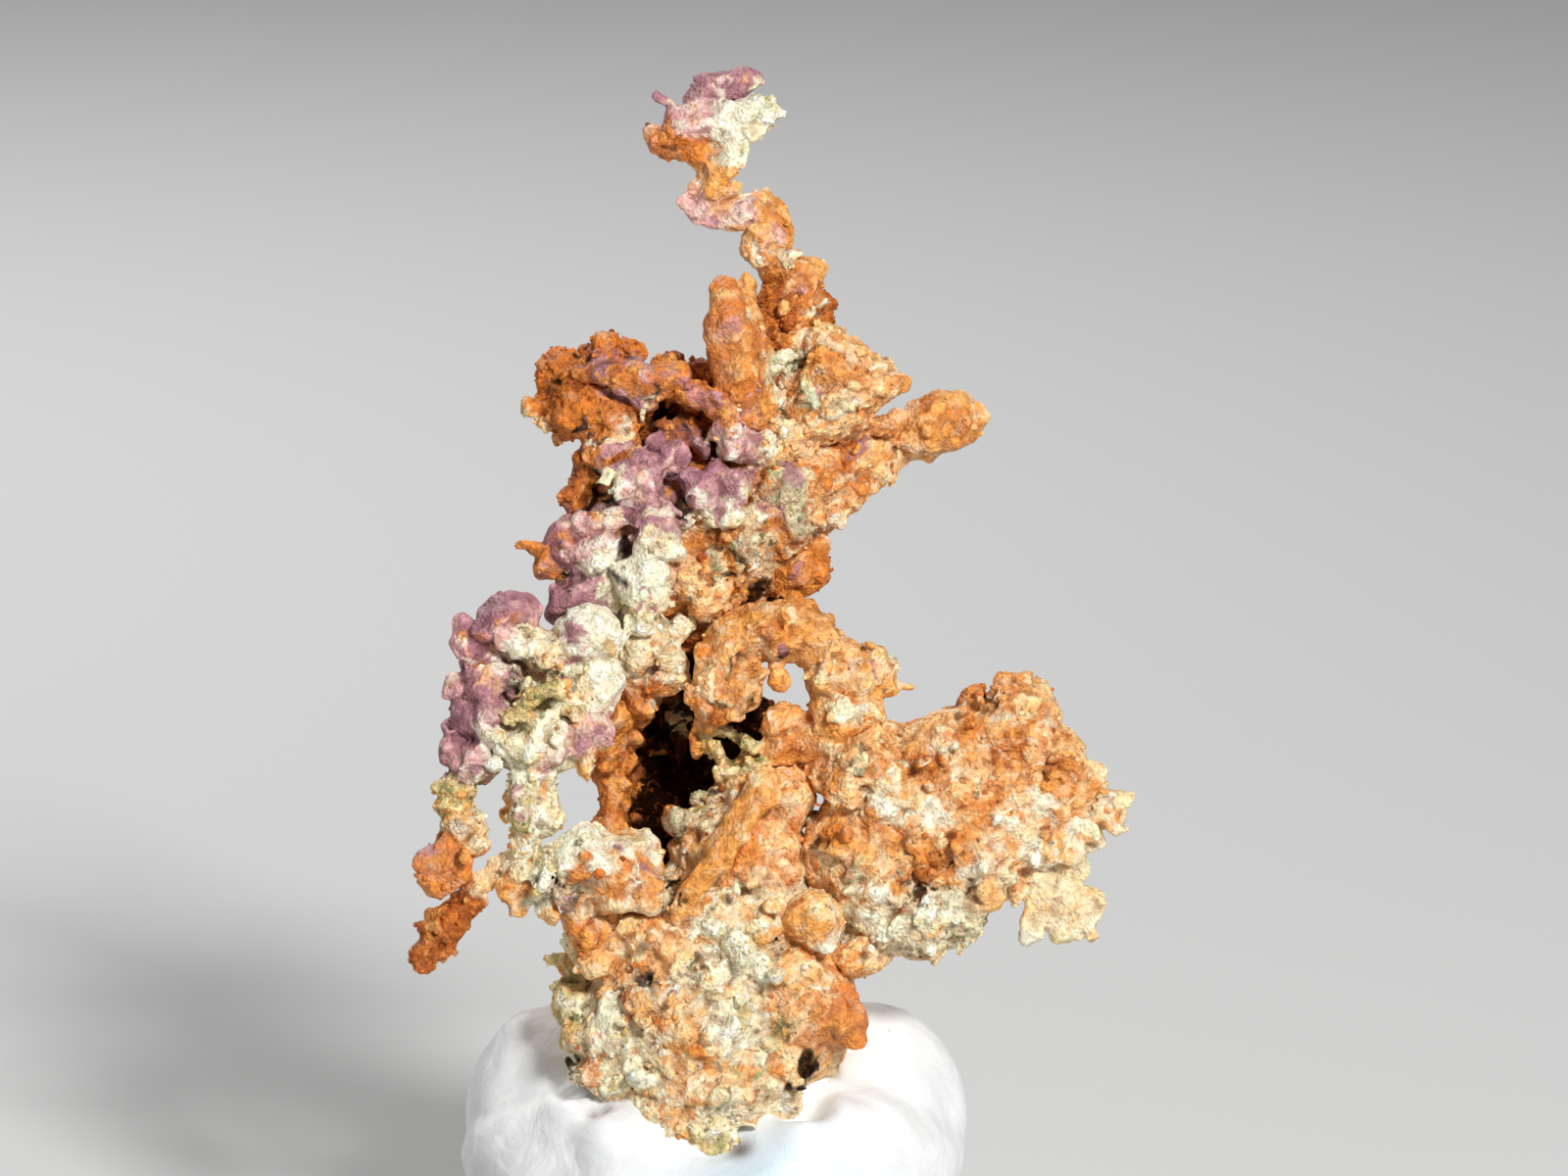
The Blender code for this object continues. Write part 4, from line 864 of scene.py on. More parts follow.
foot.limb(
    "honey",
    (-1.5, -4.9, 20.4, 0.6), (-0.9, -5.3, 21.4, 0.7), (0.0, -5.6, 22.7, 0.8), (0.9, -5.6, 24.0, 0.9),
    (2.0, -5.1, 25.5, 0.85), (3.0, -4.3, 27.0, 0.7),
)
finish_branch(foot, "foot_crust", "foot", 11, FOOT_VOXEL)

# Fan. The broad flat lobe on the right: plates of copper grown together, under a sugary orange and
# cream crust, edged with the smooth stubby teeth that branching copper ends in.
fan = Growth()
fan.lumps(
    "peach",
    (12.0, -2.4, 25.4, 6.4, 2.9, 4.9), (8.6, -2.2, 27.6, 3.6, 2.6, 2.6), (12.6, -2.2, 27.4, 4.4, 2.8, 2.8),
    (8.4, -2.2, 23.4, 3.8, 2.9, 3.2), (13.0, -2.2, 24.2, 4.0, 2.7, 2.8), (16.6, -2.2, 26.6, 2.6, 2.2, 2.6),
    (16.6, -2.4, 24.0, 2.0, 1.9, 1.8), (11.4, -3.3, 28.4, 2.4, 2.0, 1.8), (8.4, -3.6, 27.4, 2.2, 2.0, 2.2),
    (17.0, -3.0, 26.2, 2.2, 1.8, 2.0), (7.6, -2.0, 18.4, 1.6, 2.2, 1.2), (9.6, -4.4, 26.2, 1.0, 0.9, 1.0),
    (7.0, -4.5, 26.6, 1.2, 1.0, 1.0), (15.8, -2.4, 30.0, 2.2, 2.2, 2.1), (13.6, -2.2, 29.6, 2.6, 2.2, 1.6),
    (17.8, -2.6, 28.0, 1.4, 1.6, 1.6), (19.0, -2.8, 26.8, 1.2, 1.2, 1.2),
)
fan.lumps(
    "orange",
    (13.4, -2.6, 31.0, 0.95, 1.3, 0.95), (15.2, -2.4, 31.8, 0.6, 0.9, 0.5),
    (8.8, -4.6, 24.2, 1.1, 0.8, 0.6, -12), (10.6, -4.6, 23.7, 1.0, 0.8, 0.5, -6), (11.0, -4.6, 22.6, 0.7),
    (9.0, 0.6, 25.8, 2.6, 1.4, 2.4), (16.4, 0.0, 26.4, 1.8, 1.2, 1.8),
)
fan.lumps(
    "golden",
    (13.6, -4.2, 26.0, 1.3, 0.8, 0.8), (6.8, -4.5, 24.0, 1.2, 1.0, 0.9), (15.0, -4.0, 29.4, 1.0, 0.8, 0.8),
    (14.1, -3.9, 21.8, 0.95, 1.0, 1.1),
)
fan.lumps(
    "cream",
    (13.6, -3.4, 23.4, 2.2, 1.8, 1.8), (8.4, -3.4, 21.4, 2.2, 2.0, 1.8),
    (14.0, -3.2, 21.6, 1.05, 1.4, 1.05), (17.2, -3.0, 23.6, 1.6, 1.4, 1.2),
    (8.6, -4.7, 25.6, 0.9, 0.8, 1.2), (10.0, -2.6, 20.4, 3.2, 2.4, 2.3), (13.4, 0.2, 28.0, 2.4, 1.4, 2.0),
    (9.2, 0.4, 20.8, 1.9, 1.3, 1.6),
)
fan.lumps(
    "ash",
    (12.2, -3.0, 20.4, 1.9, 1.9, 1.7), (13.4, -3.2, 20.5, 0.7, 1.0, 1.2), (10.8, -3.0, 19.0, 1.4, 1.4, 0.9),
    (7.6, -4.4, 22.6, 0.9), (12.6, 0.4, 23.6, 2.2, 1.3, 1.8),
)
fan.crystals(
    "ivory",
    (20.35, -3.2, 25.6, 0.75, 0.6, 0.95, -12, 0), (20.95, -3.2, 26.25, 0.42, 0.5, 0.35, -20, 0),
    (20.7, -3.2, 24.7, 0.4, 0.5, 0.45, 25, 0), (19.4, -2.8, 27.4, 0.7, 0.7, 0.6, -15, 0),
    (18.8, -3.5, 24.5, 1.1, 0.7, 0.55, -14, 0), (18.1, -3.5, 23.5, 0.85, 0.7, 0.75, -8, 0),
    (19.5, -3.4, 24.0, 0.4, 0.5, 0.35, -35, 0), (17.5, -3.1, 21.5, 1.25, 0.6, 0.75, -4, 0),
    (15.9, -3.1, 21.2, 0.65, 0.5, 0.42, 12, 0), (19.0, -3.1, 21.1, 1.0, 0.5, 0.55, -28, 0),
    (17.6, -3.2, 20.6, 1.3, 0.5, 0.7, 0, 0), (16.5, -3.2, 19.8, 0.55, 0.45, 0.8, -18, 0),
    (16.15, -3.2, 19.1, 0.34, 0.4, 0.34, 45, 0), (17.75, -3.2, 19.5, 0.42, 0.45, 0.6, 0, 0),
    (19.0, -3.2, 19.9, 0.72, 0.5, 0.5, -5, 0), (19.4, -3.2, 19.3, 0.38, 0.45, 0.42, 25, 0),
    (18.6, -3.2, 19.4, 0.28, 0.4, 0.28, 45, 0),
)
fan.lumps("ivory", (18.5, -3.2, 22.5, 0.75, 0.8, 0.7), (16.4, -3.1, 22.0, 1.2, 0.7, 0.6, -10))
fan.lumps("peach", (19.2, -2.9, 25.5, 0.7, 0.8, 0.8), (15.4, -3.0, 22.2, 1.0, 0.9, 0.8))
fan.stains(
    "orange",
    (13.6, -4.6, 29.8, 1.2), (15.6, -4.6, 28.6, 1.0), (13.2, -5.1, 26.0, 0.9), (11.2, -5.3, 27.6, 0.8),
    (12.0, -5.3, 23.8, 0.9), (17.6, -4.4, 27.4, 0.7), (17.2, -4.6, 24.7, 0.5), (14.2, -5.2, 23.1, 0.6),
    (5.4, -5.2, 28.0, 0.8), (6.2, -5.4, 25.0, 0.9), (7.4, -5.4, 22.0, 0.7), (16.4, -4.6, 30.2, 0.6),
    (13.1, -3.8, 31.2, 0.8), (15.2, -4.4, 31.2, 0.5), (17.2, -4.2, 29.2, 0.5), (12.6, -4.8, 29.2, 0.6),
    (14.4, -4.9, 27.0, 0.5), (18.9, -4.0, 26.9, 0.5), (16.0, -4.8, 26.9, 0.4), (11.9, -5.3, 26.6, 0.4),
    (9.9, -5.4, 22.3, 0.5), (12.2, -5.0, 21.9, 0.5), (10.2, -5.0, 28.8, 0.4), (20.6, -3.9, 25.6, 0.3),
)
fan.stains(
    "rust",
    (14.7, -4.9, 28.2, 0.6), (10.4, -5.6, 23.9, 0.5), (8.2, -5.5, 24.4, 0.45), (14.1, -5.2, 24.3, 0.4),
    (12.9, -5.1, 28.0, 0.3), (6.0, -5.4, 26.0, 0.4), (14.0, -3.8, 31.2, 0.3),
)
fan.stains(
    "white",
    (9.4, -5.2, 27.4, 0.9), (9.0, -5.4, 26.0, 0.7), (11.0, -5.4, 25.8, 0.8), (12.3, -5.2, 28.4, 0.5),
    (16.8, -4.6, 26.1, 0.7), (15.0, -4.9, 25.1, 0.6), (13.0, -5.3, 22.3, 0.6), (7.6, -4.6, 19.8, 0.8),
    (17.0, -4.5, 23.2, 0.7), (10.2, -5.3, 24.9, 0.5), (15.0, -4.6, 30.2, 0.4), (14.0, -4.8, 28.9, 0.4),
    (16.6, -4.5, 28.2, 0.4), (17.2, -4.3, 30.0, 0.4), (12.2, -5.3, 25.0, 0.5), (15.9, -4.6, 23.2, 0.6),
    (19.0, -4.2, 24.4, 0.9), (18.1, -4.3, 23.5, 0.8), (19.3, -3.9, 19.6, 0.5), (14.8, -4.8, 23.9, 0.6),
)
fan.stains("mint", (12.4, -4.8, 19.9, 0.8), (9.0, -4.8, 19.0, 0.7), (11.2, -4.9, 20.6, 0.6))
fan.stains(
    "golden",
    (10.6, -5.4, 26.8, 0.8), (8.6, -5.4, 23.2, 0.8), (13.0, -5.2, 24.8, 0.8), (7.2, -5.3, 25.4, 0.7),
)
fan.stains("ash", (9.4, -4.9, 20.4, 0.8), (12.9, -4.9, 21.0, 0.5), (7.4, -5.5, 28.2, 0.4))
fan.pits(
    (8.0, -5.0, 28.5, 0.4), (7.7, -5.2, 21.9, 0.35), (13.2, -4.6, 21.6, 0.3), (13.4, -4.6, 21.0, 0.26),
    (7.9, -5.2, 26.6, 0.3), (10.2, -5.4, 23.2, 0.3), (14.4, -3.8, 30.9, 0.35), (14.8, -4.0, 30.6, 0.25),
    (9.9, -5.0, 21.8, 0.3), (5.8, -5.0, 24.0, 0.35), (11.0, -4.8, 19.9, 0.25), (16.0, -4.2, 24.8, 0.2),
    (14.3, -3.5, 31.6, 0.3), (11.8, -5.2, 22.9, 0.25), (8.6, -5.2, 20.6, 0.25), (12.0, -4.9, 20.9, 0.2),
    (6.6, -5.0, 22.6, 0.3),
)
finish_branch(fan, "fan_crust", "fan", 12)

# Shelf. The low ledge on the left under mint and cream crust with rusty and mauve patches, and the
# beaded rusty tail that runs down from it. It grew out of the foot.
shelf = Growth()
shelf.lumps(
    "peach",
    (-4.5, -4.2, 22.5, 2.3, 2.0, 1.95), (-3.6, -4.4, 22.2, 1.25, 1.7, 1.8),
    (-5.0, -2.4, 21.2, 2.2, 2.6, 1.5), (-4.2, -4.7, 21.3, 1.5, 1.3, 1.0),
)
shelf.lumps("white", (-6.4, -4.7, 23.0, 1.9, 1.8, 1.7))
shelf.lumps(
    "ivory",
    (-4.5, -5.2, 20.9, 1.1, 0.9, 0.6, -4), (-3.2, -5.1, 21.0, 0.75, 0.9, 0.7),
    (-4.4, -4.8, 23.9, 1.5, 1.0, 0.5),
)
shelf.lumps("mint", (-8.0, -4.6, 22.4, 1.1, 1.3, 1.25), (-8.6, -4.9, 21.6, 0.7, 0.8, 0.8))
shelf.lumps("cream", (-9.4, -4.2, 22.4, 1.0, 1.1, 1.1), (-7.0, -4.6, 21.4, 1.0, 1.0, 0.8))
shelf.lumps(
    "golden",
    (-10.0, -4.4, 21.8, 0.75, 0.8, 0.85), (-9.5, -4.4, 20.9, 0.6, 0.7, 0.7), (-8.9, -4.6, 21.2, 0.45),
    (-8.2, -4.4, 20.7, 0.5, 0.6, 0.55), (-7.8, -4.4, 20.2, 0.45), (-6.6, -3.8, 20.0, 0.7, 0.8, 0.9),
    (-6.3, -4.4, 20.8, 0.7, 0.8, 0.8),
)
shelf.stains("honey", (-3.4, -6.0, 23.2, 0.7), (-2.8, -5.9, 21.8, 0.6), (-5.8, -6.1, 21.4, 0.5))
shelf.limb(
    "ivory",
    (-9.6, -3.8, 23.4, 0.55), (-10.4, -3.5, 22.9, 0.6), (-11.2, -3.4, 22.3, 0.6), (-11.8, -3.4, 21.8, 0.55),
)
shelf.limb(
    "rust",
    (-12.1, -3.4, 21.3, 0.78), (-12.5, -3.6, 20.8, 0.72), (-13.3, -3.8, 19.9, 0.98),
    (-14.0, -4.0, 19.0, 0.74), (-14.6, -4.2, 18.3, 0.52), (-14.9, -4.2, 17.8, 0.46),
)
shelf.lumps("golden", (-13.6, -3.7, 18.3, 0.42), (-13.7, -4.7, 19.9, 0.4))
shelf.stains(
    "orange",
    (-5.6, -6.3, 22.4, 1.0), (-4.9, -6.4, 21.9, 0.9), (-6.3, -6.2, 21.8, 0.6), (-3.2, -6.1, 22.9, 0.4),
    (-3.7, -6.1, 21.6, 0.4), (-12.2, -4.2, 21.2, 0.4), (-14.6, -4.6, 18.2, 0.5), (-13.4, -4.7, 20.0, 0.4),
)
shelf.stains(
    "mauve",
    (-4.8, -6.2, 23.8, 0.4), (-2.8, -6.0, 22.6, 0.4), (-2.6, -5.6, 21.6, 0.3), (-5.2, -6.3, 21.2, 0.3),
    (-7.6, -5.9, 20.6, 0.25),
)
shelf.stains(
    "white",
    (-3.6, -6.2, 22.1, 0.45), (-6.9, -6.3, 23.2, 0.7), (-3.9, -6.2, 23.4, 0.6), (-5.6, -6.1, 23.8, 0.6),
)
shelf.stains("mint", (-7.2, -6.0, 22.4, 0.7), (-8.9, -5.6, 22.6, 0.6), (-6.2, -6.2, 24.0, 0.5))
shelf.stains(
    "rust",
    (-13.2, -4.7, 19.4, 0.4), (-12.6, -4.4, 20.6, 0.4), (-4.6, -6.4, 21.9, 0.3), (-11.6, -4.0, 21.9, 0.3),
)
shelf.pits(
    (-6.9, -5.8, 21.2, 0.25), (-9.2, -5.2, 21.8, 0.25), (-8.3, -5.4, 21.3, 0.22), (-13.9, -4.6, 19.3, 0.2),
    (-12.9, -4.4, 20.3, 0.2),
)
finish_branch(shelf, "shelf_crust", "shelf", 13)

# Mauve column. The knobbly column on the left, tarnished mauve on its outer side and crusted with
# cream and mint beads within, with the blocky orange crystal that hangs from it. Two thin legs
# join it to the shelf.
column = Growth()
column.lumps(
    "mauve",
    (-11.0, -3.6, 33.4, 1.6, 1.1, 1.8), (-11.2, -3.8, 30.8, 1.5, 1.1, 2.2),
    (-11.5, -3.8, 28.6, 1.3, 1.0, 1.5), (-10.2, -4.4, 35.4, 1.7, 1.5, 1.1, 10),
    (-11.3, -4.6, 35.0, 0.8, 0.8, 0.8), (-12.5, -4.4, 34.9, 0.5, 0.5, 0.5),
    (-12.4, -4.4, 33.9, 0.8, 0.9, 0.8), (-11.9, -4.8, 32.8, 0.7), (-11.5, -5.0, 31.6, 0.8),
    (-12.3, -4.4, 30.6, 0.65), (-11.1, -5.0, 30.6, 0.85), (-11.9, -4.8, 29.8, 0.7),
    (-12.9, -4.0, 29.8, 0.55), (-13.1, -4.0, 28.8, 0.6), (-13.5, -4.0, 28.3, 0.42),
    (-12.7, -4.2, 27.9, 0.65), (-11.8, -4.8, 28.5, 0.85), (-11.9, -4.6, 27.7, 0.75),
    (-10.0, -5.0, 32.2, 0.6, 0.6, 0.8),
)
column.lumps(
    "pink",
    (-12.8, -4.2, 31.8, 0.7, 0.8, 0.75), (-10.9, -5.0, 32.4, 0.7), (-11.1, -5.2, 29.6, 0.7),
    (-10.3, -5.3, 34.2, 0.6), (-5.9, -4.6, 29.6, 1.2, 1.3, 1.1), (-6.7, -4.8, 28.8, 0.9, 0.9, 0.7),
    (-7.9, -5.2, 28.4, 0.9, 0.8, 0.6, 20),
)
column.lumps("straw", (-12.7, -4.2, 26.7, 1.2, 1.1, 0.7), (-12.8, -4.2, 25.6, 1.0, 1.1, 0.75))
column.lumps(
    "cream",
    (-12.4, -4.2, 24.6, 1.2, 1.2, 0.9), (-11.8, -4.4, 23.8, 0.7, 0.7, 0.6), (-13.5, -4.0, 24.7, 0.35),
    (-8.5, -4.4, 33.8, 1.15, 1.2, 1.2), (-7.2, -3.8, 33.0, 1.5, 1.4, 1.5),
    (-8.2, -2.8, 31.4, 2.2, 1.3, 2.4), (-8.8, -4.6, 25.5, 1.4, 1.4, 1.5),
    (-9.4, -4.4, 24.2, 0.85, 0.95, 1.2), (-8.8, -5.6, 33.9, 0.5), (-8.2, -5.4, 33.3, 0.5),
)
column.lumps(
    "white",
    (-6.2, -4.2, 34.3, 1.8, 1.8, 1.7), (-5.4, -5.4, 34.2, 0.9, 0.7, 0.9), (-5.8, -4.0, 32.0, 1.5, 1.7, 1.9),
    (-9.6, -5.6, 34.0, 0.55, 0.5, 0.6), (-11.3, -5.5, 29.5, 0.35), (-10.7, -5.7, 29.3, 0.5),
    (-9.7, -5.8, 29.1, 0.6), (-8.9, -6.0, 29.8, 0.5, 0.5, 0.6, 40), (-8.2, -5.9, 30.2, 0.6, 0.5, 0.4, 40),
    (-8.9, -6.0, 28.8, 0.45, 0.5, 0.55), (-10.4, -5.7, 28.5, 0.45), (-10.9, -5.5, 27.8, 0.5),
    (-7.6, -5.9, 29.2, 0.4),
)
column.lumps(
    "mint",
    (-9.2, -5.4, 31.9, 0.65, 0.5, 0.36, 20), (-7.4, -5.2, 30.9, 0.8, 0.7, 0.5),
    (-8.6, -4.2, 29.0, 2.4, 1.6, 1.6), (-9.0, -4.6, 26.9, 1.3, 1.3, 1.1),
)
column.crystals(
    "amber",
    (-13.6, -4.2, 22.8, 1.2, 1.1, 1.2, 30, 0), (-12.7, -4.4, 23.7, 0.7, 0.7, 0.6, 35, 0),
    (-12.7, -4.5, 22.4, 0.6, 0.8, 0.6, 15, 0),
)
column.limb("peach", (-6.1, -4.7, 28.3, 0.55), (-6.2, -4.7, 27.8, 0.4), (-6.3, -4.7, 27.2, 0.16))
column.limb(
    "straw",
    (-10.0, -5.8, 30.4, 0.4), (-9.0, -6.1, 31.0, 0.42), (-8.0, -6.1, 31.7, 0.42), (-7.2, -5.9, 32.2, 0.4),
)
column.limb("straw", (-7.4, -5.7, 31.6, 0.34), (-6.9, -5.8, 31.0, 0.4), (-6.5, -5.7, 30.4, 0.34))
column.lumps("golden", (-10.4, -2.9, 25.4, 0.45, 0.9, 0.4), (-10.2, -3.8, 26.4, 0.35))
column.stains(
    "mauve",
    (-6.8, -6.0, 34.6, 0.6), (-7.2, -5.4, 35.4, 0.5), (-7.0, -5.7, 33.2, 0.4), (-8.6, -5.9, 26.2, 0.4),
    (-6.6, -5.8, 28.6, 0.6), (-5.2, -5.8, 29.6, 0.5), (-14.4, -4.8, 23.6, 0.6), (-9.4, -5.8, 25.9, 0.35),
)
column.stains("pink", (-12.2, -5.3, 34.1, 0.4), (-10.9, -6.0, 30.8, 0.4), (-12.2, -5.5, 28.2, 0.4))
column.stains(
    "orange",
    (-11.5, -5.4, 33.6, 0.4), (-9.9, -5.8, 34.8, 0.3), (-12.0, -5.3, 34.6, 0.25), (-6.9, -6.0, 31.8, 0.3),
)
column.stains(
    "golden",
    (-12.4, -5.2, 26.0, 0.5), (-11.9, -5.4, 24.4, 0.4), (-5.0, -5.8, 30.4, 0.3), (-8.2, -5.8, 26.9, 0.35),
)
column.stains(
    "ochre",
    (-13.2, -5.4, 22.2, 0.7), (-12.6, -5.2, 23.2, 0.6), (-12.2, -5.2, 25.2, 0.3), (-13.8, -5.2, 22.6, 0.5),
)
column.stains(
    "straw",
    (-9.4, -5.6, 25.2, 0.6), (-9.2, -5.4, 32.6, 0.3), (-6.2, -5.9, 32.8, 0.3), (-5.0, -6.0, 33.6, 0.4),
)
column.pits(
    (-9.5, -5.4, 32.8, 0.42), (-9.9, -5.6, 31.5, 0.35), (-8.2, -5.6, 32.5, 0.28), (-8.4, -5.6, 30.8, 0.2),
    (-12.9, -4.8, 29.3, 0.3), (-12.5, -4.9, 32.8, 0.22), (-7.2, -5.5, 32.9, 0.22),
    (-12.5, -4.9, 29.2, 0.22), (-12.0, -5.0, 27.2, 0.25), (-8.0, -5.6, 34.9, 0.22), (-4.8, -5.2, 35.2, 0.2),
    (-8.2, -5.9, 29.7, 0.15),
)
finish_branch(column, "mauve_column_crust", "mauve_column", 14)

# Middle stem. The stem at the back that carries the trunk: copper under rusty crust, with a smooth
# orange strut, the wall of the big hollow painted near-black as painted shade, and a fine spike inside it.
stem = Growth()
stem.lumps(
    "cream",
    (-3.6, -1.2, 34.0, 1.6, 2.2, 2.2), (-2.0, -2.2, 33.2, 1.0, 1.0, 0.95),
    (-1.6, -2.0, 34.6, 0.55, 0.7, 0.7), (-2.4, -2.0, 32.1, 1.35, 1.1, 0.85),
)
stem.lumps(
    "orange",
    (-3.7, -0.6, 31.6, 1.3, 1.9, 1.6), (-1.8, 2.2, 33.8, 2.4, 2.0, 2.4), (1.8, 0.6, 35.4, 2.2, 1.4, 1.7),
    (-5.6, -0.6, 30.4, 1.7, 1.5, 2.5), (-5.2, -0.4, 33.0, 1.8, 1.6, 1.6),
)
stem.lumps(
    "rust",
    (-2.2, 3.2, 30.2, 2.6, 1.5, 3.4), (-2.4, 3.0, 25.8, 2.6, 1.6, 3.6), (0.2, 3.0, 27.6, 1.8, 1.4, 2.6),
    (2.6, 2.2, 27.4, 2.4, 1.5, 2.5), (2.0, 2.0, 30.2, 1.3, 0.9, 1.2),
)
stem.limb(
    "orange",
    (-4.1, 0.2, 30.6, 0.95), (-4.5, 0.4, 29.2, 0.82), (-4.7, 0.8, 27.8, 0.85), (-4.9, 1.0, 26.4, 0.95),
    (-5.0, 0.8, 25.0, 1.0), (-4.9, 0.4, 23.4, 1.1), (-4.4, 0.0, 21.6, 1.3),
)
stem.limb("rust", (-1.6, 1.4, 30.0, 0.4), (-1.6, 1.0, 28.8, 0.5), (-1.7, 0.9, 27.6, 0.25))
stem.lumps("ash", (-1.6, 0.9, 30.4, 0.7, 0.7, 0.7))
stem.stains("golden", (-4.9, 0.0, 26.8, 0.7), (-4.8, -0.2, 24.4, 0.8))
# The walls of the big hollow painted near-black: painted shade.
stem.stains(
    "shade_umber",
    (-2.4, 1.2, 31.2, 1.2), (-0.8, 1.4, 32.2, 1.8), (-3.0, 1.6, 29.2, 1.5), (-0.4, 0.4, 34.2, 0.7),
    (-1.4, 2.2, 29.8, 1.5), (-2.0, 1.3, 27.6, 2.0), (-2.6, 1.3, 25.4, 1.9), (-1.4, 1.3, 23.4, 1.6),
    (0.4, 1.3, 28.6, 1.8), (0.2, 1.5, 26.4, 1.7), (2.2, 0.8, 28.8, 1.8), (2.0, 1.0, 30.4, 1.4),
    (2.4, 0.8, 26.8, 1.5), (0.8, 0.2, 33.8, 1.2), (0.6, 1.2, 31.4, 1.4),
)
stem.stains("rust", (-3.6, -2.6, 31.2, 0.4), (-2.9, -2.8, 33.0, 0.4), (-2.2, -3.0, 32.6, 0.3))
stem.stains("orange", (-1.9, -3.0, 33.6, 0.4), (-3.2, -2.6, 34.6, 0.5), (-2.7, -3.0, 31.8, 0.4))
stem.pits((-2.9, -2.8, 32.6, 0.25), (-1.4, -2.9, 33.9, 0.25), (-3.0, -2.9, 34.0, 0.3))
finish_branch(stem, "middle_stem_crust", "middle_stem", 15)

# Arch. The golden arch of copper in front of the hollow, with a pendant under it, a shoulder on the
# right, the fine spur that ends in a bead, and the straw-coloured twigs that grew below it.
arch = Growth()
arch.limb(
    "golden",
    (0.5, -2.8, 31.0, 1.2), (0.7, -3.0, 32.4, 1.4), (1.2, -3.0, 33.6, 1.5), (2.4, -3.0, 34.5, 1.55),
    (3.9, -3.0, 34.6, 1.55), (5.1, -3.0, 34.2, 1.4), (6.0, -3.0, 33.2, 1.2), (6.5, -3.0, 31.8, 1.3),
    (6.7, -3.0, 30.4, 1.7),
)
arch.lumps(
    "orange",
    (2.6, -2.4, 35.2, 1.8, 1.6, 0.95), (4.8, -2.6, 35.5, 0.85, 1.2, 0.75), (5.8, -2.8, 34.9, 0.6),
    (4.6, -4.0, 34.8, 0.8, 0.7, 0.7), (3.2, -4.3, 34.2, 0.9, 0.6, 0.7), (0.4, -3.6, 30.4, 1.0, 1.0, 0.7),
)
arch.lumps(
    "peach",
    (0.3, -4.2, 31.8, 1.1, 0.9, 1.0), (-0.2, -3.8, 30.9, 0.7), (7.2, -3.0, 32.2, 1.9, 1.7, 1.9),
    (8.1, -3.0, 33.2, 0.95, 1.1, 0.9), (8.7, -2.9, 32.2, 0.8), (6.7, -4.5, 30.8, 0.8, 0.7, 0.8),
    (8.0, -3.9, 30.4, 1.0, 0.9, 1.1), (6.3, -4.2, 32.6, 0.7, 0.6, 1.0, 10),
    (6.2, -3.8, 33.8, 0.6, 0.6, 0.7),
)
arch.lumps(
    "golden",
    (1.8, -4.3, 31.6, 1.05, 0.9, 1.0), (2.6, -4.2, 32.3, 0.5, 0.5, 0.5), (1.2, -4.4, 30.6, 0.5, 0.5, 0.4),
    (3.7, -3.6, 32.1, 0.55, 0.5, 0.75), (3.5, -3.6, 33.0, 0.35, 0.4, 0.4), (3.7, -3.0, 30.0, 1.0, 1.0, 1.0),
    (3.7, -2.6, 28.9, 0.9, 1.2, 1.1), (5.2, -2.6, 29.1, 1.3, 1.3, 1.0),
)
arch.limb(
    "golden",
    (9.1, -2.8, 32.2, 0.36), (9.5, -2.8, 32.1, 0.16), (9.8, -2.8, 32.1, 0.14), (9.95, -2.8, 32.1, 0.27),
)
arch.limb(
    "straw",
    (3.0, -3.0, 29.2, 0.34), (2.1, -3.0, 28.9, 0.3), (1.2, -2.8, 29.3, 0.28), (0.4, -2.7, 29.7, 0.3),
)
arch.limb(
    "straw",
    (0.0, -2.6, 29.9, 0.3), (0.1, -2.5, 28.9, 0.34), (0.7, -2.5, 28.0, 0.4), (0.9, -2.5, 27.0, 0.4),
)
arch.limb(
    "straw",
    (0.8, -2.5, 27.9, 0.34), (1.6, -2.8, 27.5, 0.34), (2.4, -3.0, 27.7, 0.36), (3.0, -3.2, 28.3, 0.36),
)
arch.limb(
    "ash",
    (-0.6, -2.3, 26.5, 0.34), (0.2, -2.4, 26.3, 0.4), (1.0, -2.6, 26.5, 0.44), (1.9, -2.9, 26.6, 0.4),
)
arch.limb("orange", (-0.4, -2.8, 29.8, 0.34), (-0.7, -2.5, 29.1, 0.26), (-0.5, -2.2, 28.5, 0.26))
arch.lumps(
    "straw",
    (0.4, -2.8, 28.6, 0.42), (1.3, -3.0, 27.6, 0.4), (0.5, -2.9, 27.4, 0.36), (2.0, -3.1, 27.9, 0.36),
    (1.6, -3.0, 26.9, 0.4),
)
arch.stains(
    "white",
    (7.0, -5.2, 30.9, 0.7), (0.2, -5.0, 32.0, 0.4), (7.4, -4.7, 32.6, 0.3), (4.0, -4.0, 30.3, 0.3),
)
arch.stains("mauve", (6.0, -4.7, 32.8, 0.3), (8.4, -4.0, 32.9, 0.25), (3.9, -4.9, 34.0, 0.25))
arch.stains(
    "rust",
    (3.4, -4.8, 34.6, 0.3), (0.2, -4.6, 30.2, 0.3), (4.6, -4.5, 34.0, 0.25), (2.4, -4.7, 35.2, 0.3),
)
arch.stains(
    "peach",
    (0.6, -4.5, 33.2, 0.7), (2.6, -4.8, 33.4, 0.5), (5.6, -4.6, 33.8, 0.6), (1.6, -5.0, 31.2, 0.4),
)
arch.stains("golden", (7.6, -4.8, 31.8, 0.6), (6.6, -4.6, 31.8, 0.5), (8.0, -4.2, 33.6, 0.5))
